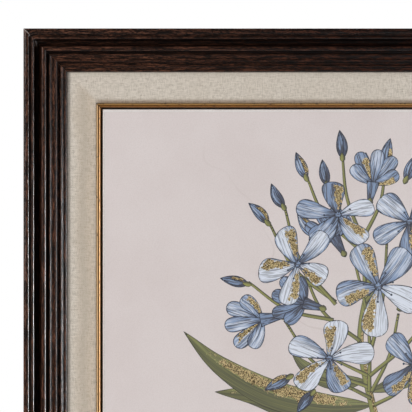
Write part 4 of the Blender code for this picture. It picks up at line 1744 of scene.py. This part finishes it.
class LinenFinish(bpy.types.PropertyGroup):
    """Colours and count of the linen cloth."""

    light: FloatVectorProperty(
        name="Light yarn", description="Colour of the lightest yarns",
        subtype="COLOR", default=(0.66, 0.595, 0.515),
    )
    shadow: FloatVectorProperty(
        name="Shaded yarn", description="Colour of yarns in the weave's hollows",
        subtype="COLOR", default=(0.42, 0.365, 0.30),
    )
    warm: FloatVectorProperty(
        name="Warm patches", description="Colour that warms the cloth in soft patches",
        subtype="COLOR", default=(0.53, 0.455, 0.37),
    )
    fleck: FloatVectorProperty(
        name="Flecks", description="Colour of seeds and slubs",
        subtype="COLOR", default=(0.24, 0.19, 0.145),
    )
    # Tint of the inner part of the upright bands, warmer and darker
    handled: FloatVectorProperty(
        name="Inner warmth", description="Tint of the upright bands where they have yellowed",
        subtype="COLOR", default=(0.93, 0.86, 0.78),
    )
    # Painted shade on the level bands' roll
    dusty: FloatVectorProperty(
        name="Roll shade", description="Tint of the level bands where they roll over to the slip",
        subtype="COLOR", default=(0.45, 0.365, 0.285),
    )
    threads: FloatProperty(
        name="Threads per metre", description="Yarns in one metre of cloth",
        min=300, max=4000, default=1300,
    )


class GiltFinish(bpy.types.PropertyGroup):
    """Colours of the rubbed gold slip."""

    gold: FloatVectorProperty(
        name="Gold", description="Colour of the gold",
        subtype="COLOR", default=(0.48, 0.225, 0.060),
    )
    # Burnished gold and painted highlight along the beads
    bright: FloatVectorProperty(
        name="Bright edge", description="Burnished gold along the beads",
        subtype="COLOR", default=(0.80, 0.53, 0.27),
    )
    deep: FloatVectorProperty(
        name="Deep gold", description="Gold toned down with brown",
        subtype="COLOR", default=(0.24, 0.10, 0.022),
    )
    clay: FloatVectorProperty(
        name="Clay", description="Brown clay that shows through",
        subtype="COLOR", default=(0.075, 0.03, 0.012),
    )
    joint: FloatVectorProperty(
        name="Joint", description="Dark line in the mitre joints",
        subtype="COLOR", default=(0.02, 0.013, 0.006),
    )
    # Painted shade of the level rails of the slip
    dusty: FloatVectorProperty(
        name="Level shade", description="Tint of the level rails, where dust has dulled them",
        subtype="COLOR", default=(0.62, 0.53, 0.36),
    )
    wall: FloatVectorProperty(
        name="Inner wall", description="Dark paint on the slip's wall beside the print",
        subtype="COLOR", default=(0.0030, 0.0034, 0.0050),
    )
    wall_brushed: FloatVectorProperty(
        name="Brushed wall", description="Paint on the wall where the brush left it thin",
        subtype="COLOR", default=(0.013, 0.014, 0.018),
    )
    rub: FloatProperty(
        name="Rubbing", description="How much of the gold is rubbed through",
        subtype="FACTOR", min=0, max=1, default=0.75,
    )


class PrintDesign(bpy.types.PropertyGroup):
    """Colours and drawing of the printed sheet."""

    seed: IntProperty(
        name="Drawing seed", description="Chooses the small variations of the drawing",
        min=0, default=7,
    )
    detail: FloatProperty(
        name="Outline spacing", description="Millimetres between points of a printed outline",
        min=0.4, max=6, default=1.6,
    )
    card: FloatVectorProperty(
        name="Mount card", description="Card that shows round the sheet",
        subtype="COLOR", default=(0.73, 0.70, 0.68),
    )
    paper: FloatVectorProperty(
        name="Paper", description="Ground of the print",
        subtype="COLOR", default=(0.665, 0.597, 0.583),
    )
    paper_shade: FloatVectorProperty(
        name="Paper shade", description="Cloudy darker patches of the ground",
        subtype="COLOR", default=(0.635, 0.562, 0.547),
    )
    foxing: FloatVectorProperty(
        name="Foxing", description="Specks and creases",
        subtype="COLOR", default=(0.26, 0.17, 0.12),
    )
    gold_dark: FloatVectorProperty(
        name="Dark gold flakes", description="Darkest grains of the gold on the print",
        subtype="COLOR", default=(0.08, 0.048, 0.015),
    )
    gold_light: FloatVectorProperty(
        name="Light gold flakes", description="Lightest grains of the gold on the print",
        subtype="COLOR", default=(0.60, 0.46, 0.23),
    )
    petal_white: FloatVectorProperty(
        name="Petal white", description="Lightest wash of the petals",
        subtype="COLOR", default=(0.66, 0.70, 0.785),
    )
    petal_blue: FloatVectorProperty(
        name="Petal blue", description="Middle wash of the petals",
        subtype="COLOR", default=(0.185, 0.27, 0.43),
    )
    petal_deep: FloatVectorProperty(
        name="Petal deep blue", description="Deepest wash of petals and buds",
        subtype="COLOR", default=(0.020, 0.032, 0.078),
    )
    pen: FloatVectorProperty(
        name="Pen", description="Outlines and hatching of the petals",
        subtype="COLOR", default=(0.012, 0.014, 0.028),
    )
    leaf_light: FloatVectorProperty(
        name="Leaf light", description="Light half of the leaves",
        subtype="COLOR", default=(0.205, 0.215, 0.065),
    )
    leaf_dark: FloatVectorProperty(
        name="Leaf dark", description="Dark half of the leaves",
        subtype="COLOR", default=(0.078, 0.082, 0.024),
    )
    leaf_yellow: FloatVectorProperty(
        name="Leaf yellow", description="Yellow-green streaks",
        subtype="COLOR", default=(0.245, 0.245, 0.052),
    )
    leaf_pen: FloatVectorProperty(
        name="Leaf pen", description="Outlines and veins of the leaves",
        subtype="COLOR", default=(0.030, 0.028, 0.012),
    )


class BackFinish(bpy.types.PropertyGroup):
    """Colours of the backing board and of the hardware."""

    board: FloatVectorProperty(
        name="Hardboard", description="Usual brown of the board",
        subtype="COLOR", default=(0.145, 0.075, 0.036),
    )
    board_light: FloatVectorProperty(
        name="Light hardboard", description="Lighter clouds of the board",
        subtype="COLOR", default=(0.24, 0.135, 0.068),
    )
    # Dark fibres, and painted shade in the screen pattern's hollows
    board_fibre: FloatVectorProperty(
        name="Board fibre", description="Dark fibres and the hollows of the screen pattern",
        subtype="COLOR", default=(0.06, 0.03, 0.015),
    )
    board_front: FloatVectorProperty(
        name="Board front", description="Paint on the side towards the print",
        subtype="COLOR", default=(0.004, 0.004, 0.005),
    )
    zinc: FloatVectorProperty(
        name="Zinc", description="Bright zinc plate",
        subtype="COLOR", default=(0.66, 0.65, 0.62),
    )
    zinc_dull: FloatVectorProperty(
        name="Dull zinc", description="Zinc plate where it has dulled",
        subtype="COLOR", default=(0.46, 0.45, 0.43),
    )
    scratch: FloatVectorProperty(
        name="Scratches", description="Fine scratches in the plate",
        subtype="COLOR", default=(0.30, 0.29, 0.27),
    )
    rubber: FloatVectorProperty(
        name="Rubber", description="Rubber of the bumpers",
        subtype="COLOR", default=(0.018, 0.018, 0.019),
    )
    dust: FloatVectorProperty(
        name="Dust", description="Dust on the rubber",
        subtype="COLOR", default=(0.09, 0.085, 0.08),
    )


class StageSettings(bpy.types.PropertyGroup):
    """Camera, lights and floor."""

    floor_dark: FloatVectorProperty(
        name="Dark floor", description="Darker clouds of the floor",
        subtype="COLOR", default=(0.56, 0.55, 0.54),
    )
    floor_light: FloatVectorProperty(
        name="Light floor", description="Lighter clouds of the floor",
        subtype="COLOR", default=(0.62, 0.61, 0.60),
    )
    camera_distance: FloatProperty(
        name="Camera distance", description="From the camera to the face of the frame",
        subtype="DISTANCE", unit="LENGTH", default=0.95,
    )
    view_width: FloatProperty(
        name="Width in view",
        description="Width that the picture takes in at the face of the frame",
        subtype="DISTANCE", unit="LENGTH", default=0.3626,
    )
    view_left: FloatProperty(
        name="Margin on the left", description="White margin on the left of the frame",
        subtype="DISTANCE", unit="LENGTH", default=0.0196,
    )
    view_top: FloatProperty(
        name="Margin above", description="White margin above the frame",
        subtype="DISTANCE", unit="LENGTH", default=0.0240,
    )
    ambient: FloatProperty(
        name="Ambient light", description="Strength of the light from all round",
        min=0, default=0.14,
    )
    mirrored: FloatProperty(
        name="Mirrored room",
        description="Brightness of the room where the lacquer and the gold mirror it",
        min=0, default=0.05,
    )


PROPERTY_GROUPS = {
    "piece_sizes": PieceSizes,
    "wood_finish": WoodFinish,
    "linen_finish": LinenFinish,
    "gilt_finish": GiltFinish,
    "print_design": PrintDesign,
    "back_finish": BackFinish,
    "stage_settings": StageSettings,
}


class FRAMEDPRINT_OT_moulding(bpy.types.Operator):
    """Build the four rails of the reeded moulding"""

    bl_idname = "framed_print.moulding"
    bl_label = "Moulding"

    def execute(self, context):
        build_moulding(context)
        return {"FINISHED"}


class FRAMEDPRINT_OT_liner(bpy.types.Operator):
    """Build the linen-covered liner"""

    bl_idname = "framed_print.liner"
    bl_label = "Linen liner"

    def execute(self, context):
        build_liner(context)
        return {"FINISHED"}


class FRAMEDPRINT_OT_slip(bpy.types.Operator):
    """Build the four rails of the gilt slip"""

    bl_idname = "framed_print.slip"
    bl_label = "Gilt slip"

    def execute(self, context):
        build_slip(context)
        return {"FINISHED"}


class FRAMEDPRINT_OT_print_sheet(bpy.types.Operator):
    """Build the printed sheet with its spray of blossom"""

    bl_idname = "framed_print.print_sheet"
    bl_label = "Printed sheet"

    def execute(self, context):
        build_print_sheet(context)
        return {"FINISHED"}


class FRAMEDPRINT_OT_print_panel(bpy.types.Operator):
    """Finish the pale board that the print is mounted on"""

    bl_idname = "framed_print.print_panel"
    bl_label = "Print panel"

    def execute(self, context):
        dress_solids("print_panel", mount_card(context))
        return {"FINISHED"}


class FRAMEDPRINT_OT_backing(bpy.types.Operator):
    """Finish the hardboard that closes the back"""

    bl_idname = "framed_print.backing"
    bl_label = "Backing board"

    def execute(self, context):
        dress_solids("backing_board", hardboard(context))
        return {"FINISHED"}


class FRAMEDPRINT_OT_retaining_points(bpy.types.Operator):
    """Finish the flat points that hold the backing board"""

    bl_idname = "framed_print.retaining_points"
    bl_label = "Retaining points"

    def execute(self, context):
        dress_solids("retaining_point", zinc_steel(context))
        return {"FINISHED"}


class FRAMEDPRINT_OT_hanger(bpy.types.Operator):
    """Finish the sawtooth hanger"""

    bl_idname = "framed_print.hanger"
    bl_label = "Sawtooth hanger"

    def execute(self, context):
        dress_solids("sawtooth_hanger", zinc_steel(context))
        return {"FINISHED"}


class FRAMEDPRINT_OT_screws(bpy.types.Operator):
    """Build the two screws of the hanger"""

    bl_idname = "framed_print.screws"
    bl_label = "Hanger screws"

    def execute(self, context):
        build_screws(context)
        return {"FINISHED"}


class FRAMEDPRINT_OT_bumpers(bpy.types.Operator):
    """Finish the two soft bumpers"""

    bl_idname = "framed_print.bumpers"
    bl_label = "Bumpers"

    def execute(self, context):
        dress_solids("bumper", bumper_rubber(context))
        return {"FINISHED"}


class FRAMEDPRINT_OT_stage(bpy.types.Operator):
    """Set the floor, the lights and the camera"""

    bl_idname = "framed_print.stage"
    bl_label = "Stage"

    def execute(self, context):
        build_stage(context)
        return {"FINISHED"}


def set_camera(scene, settings):
    """Looks straight at the frame, with its top left corner in view."""
    camera = bpy.data.cameras.new("camera")
    camera.sensor_width = 36
    camera.lens = camera.sensor_width * settings.camera_distance / settings.view_width
    eye = bpy.data.objects.new("camera", camera)
    eye.location = (
        LEFT - settings.view_left + settings.view_width / 2,
        CAD_BOX[0].y - settings.camera_distance,
        TOP + settings.view_top - settings.view_width / 2,
    )
    eye.rotation_euler = (math.pi / 2, 0, 0)
    scene.collection.objects.link(eye)
    scene.camera = eye


def lay_floor(context):
    mesh = bpy.data.meshes.new("floor")
    reach, level = FLOOR_REACH, BOTTOM - FLOOR_DROP
    front = [(-reach, -reach, level), (reach, -reach, level)]
    back = [(reach, FLOOR_BEHIND, level), (-reach, FLOOR_BEHIND, level)]
    mesh.from_pydata(front + back, [], [(0, 1, 2, 3)])
    mesh.materials.append(floor_paint(context))
    floor = bpy.data.objects.new("floor", mesh)
    context.scene.collection.objects.link(floor)


def add_light(name, spot, aim, size, power, shade, diffuse, glossy):
    """A soft rectangular light. It can be left out of what surfaces or reflections show."""
    light = bpy.data.lights.new(name, "AREA")
    light.shape = "RECTANGLE"
    light.size, light.size_y = size
    light.energy = power
    light.color = shade
    lamp = bpy.data.objects.new(name, light)
    lamp.location = spot
    lamp.rotation_euler = (Vector(aim) - Vector(spot)).to_track_quat("-Z", "Y").to_euler()
    lamp.visible_diffuse, lamp.visible_glossy = diffuse, glossy
    bpy.context.scene.collection.objects.link(lamp)


def light_room(scene, settings):
    """Even light from all round, dimmer where lacquer and gold mirror it, and a white backdrop."""
    world = bpy.data.worlds.new("surroundings")
    world.use_nodes = True
    tree = world.node_tree
    path = add_node(tree, "ShaderNodeLightPath").outputs
    room = ramp(tree, path["Is Glossy Ray"], 0.0, 1.0, settings.ambient, settings.mirrored)
    lit = times(tree, room, minus(tree, 1.0, path["Is Camera Ray"]))
    background = tree.nodes["Background"]
    background.inputs["Color"].default_value = (1, 1, 1, 1)
    tree.links.new(plus(tree, lit, path["Is Camera Ray"]), background.inputs["Strength"])
    scene.world = world


def build_stage(context):
    scene, settings = context.scene, context.scene.stage_settings
    set_camera(scene, settings)
    lay_floor(context)
    for light in LIGHTS:
        add_light(*light)
    light_room(scene, settings)
    scene.view_settings.view_transform = "Standard"


class FRAMEDPRINT_PT_sidebar(bpy.types.Panel):
    """Lists the finishes and the pieces"""

    bl_label = "Framed Print"
    bl_idname = "FRAMEDPRINT_PT_sidebar"
    bl_space_type = "VIEW_3D"
    bl_region_type = "UI"
    bl_category = "Framed Print"

    def draw(self, context):
        layout = self.layout
        for name, kind in PROPERTY_GROUPS.items():
            box = layout.box()
            box.label(text=name.replace("_", " ").capitalize())
            for key in kind.__annotations__:
                box.prop(getattr(context.scene, name), key)
        for operator in OPERATORS:
            layout.operator(operator.bl_idname)


OPERATORS = (
    FRAMEDPRINT_OT_moulding,
    FRAMEDPRINT_OT_liner,
    FRAMEDPRINT_OT_slip,
    FRAMEDPRINT_OT_print_sheet,
    FRAMEDPRINT_OT_print_panel,
    FRAMEDPRINT_OT_backing,
    FRAMEDPRINT_OT_retaining_points,
    FRAMEDPRINT_OT_hanger,
    FRAMEDPRINT_OT_screws,
    FRAMEDPRINT_OT_bumpers,
    FRAMEDPRINT_OT_stage,
)


def register():
    for kind in (*PROPERTY_GROUPS.values(), *OPERATORS, FRAMEDPRINT_PT_sidebar):
        bpy.utils.register_class(kind)
    for name, kind in PROPERTY_GROUPS.items():
        setattr(bpy.types.Scene, name, PointerProperty(type=kind))


def unregister():
    for name in PROPERTY_GROUPS:
        delattr(bpy.types.Scene, name)
    for kind in reversed((*PROPERTY_GROUPS.values(), *OPERATORS, FRAMEDPRINT_PT_sidebar)):
        bpy.utils.unregister_class(kind)


def main():
    register()
    bpy.ops.framed_print.moulding()
    bpy.ops.framed_print.liner()
    bpy.ops.framed_print.slip()
    bpy.ops.framed_print.print_sheet()
    bpy.ops.framed_print.print_panel()
    bpy.ops.framed_print.backing()
    bpy.ops.framed_print.retaining_points()
    bpy.ops.framed_print.hanger()
    bpy.ops.framed_print.screws()
    bpy.ops.framed_print.bumpers()
    bpy.ops.framed_print.stage()


if __name__ == "__main__":
    main()
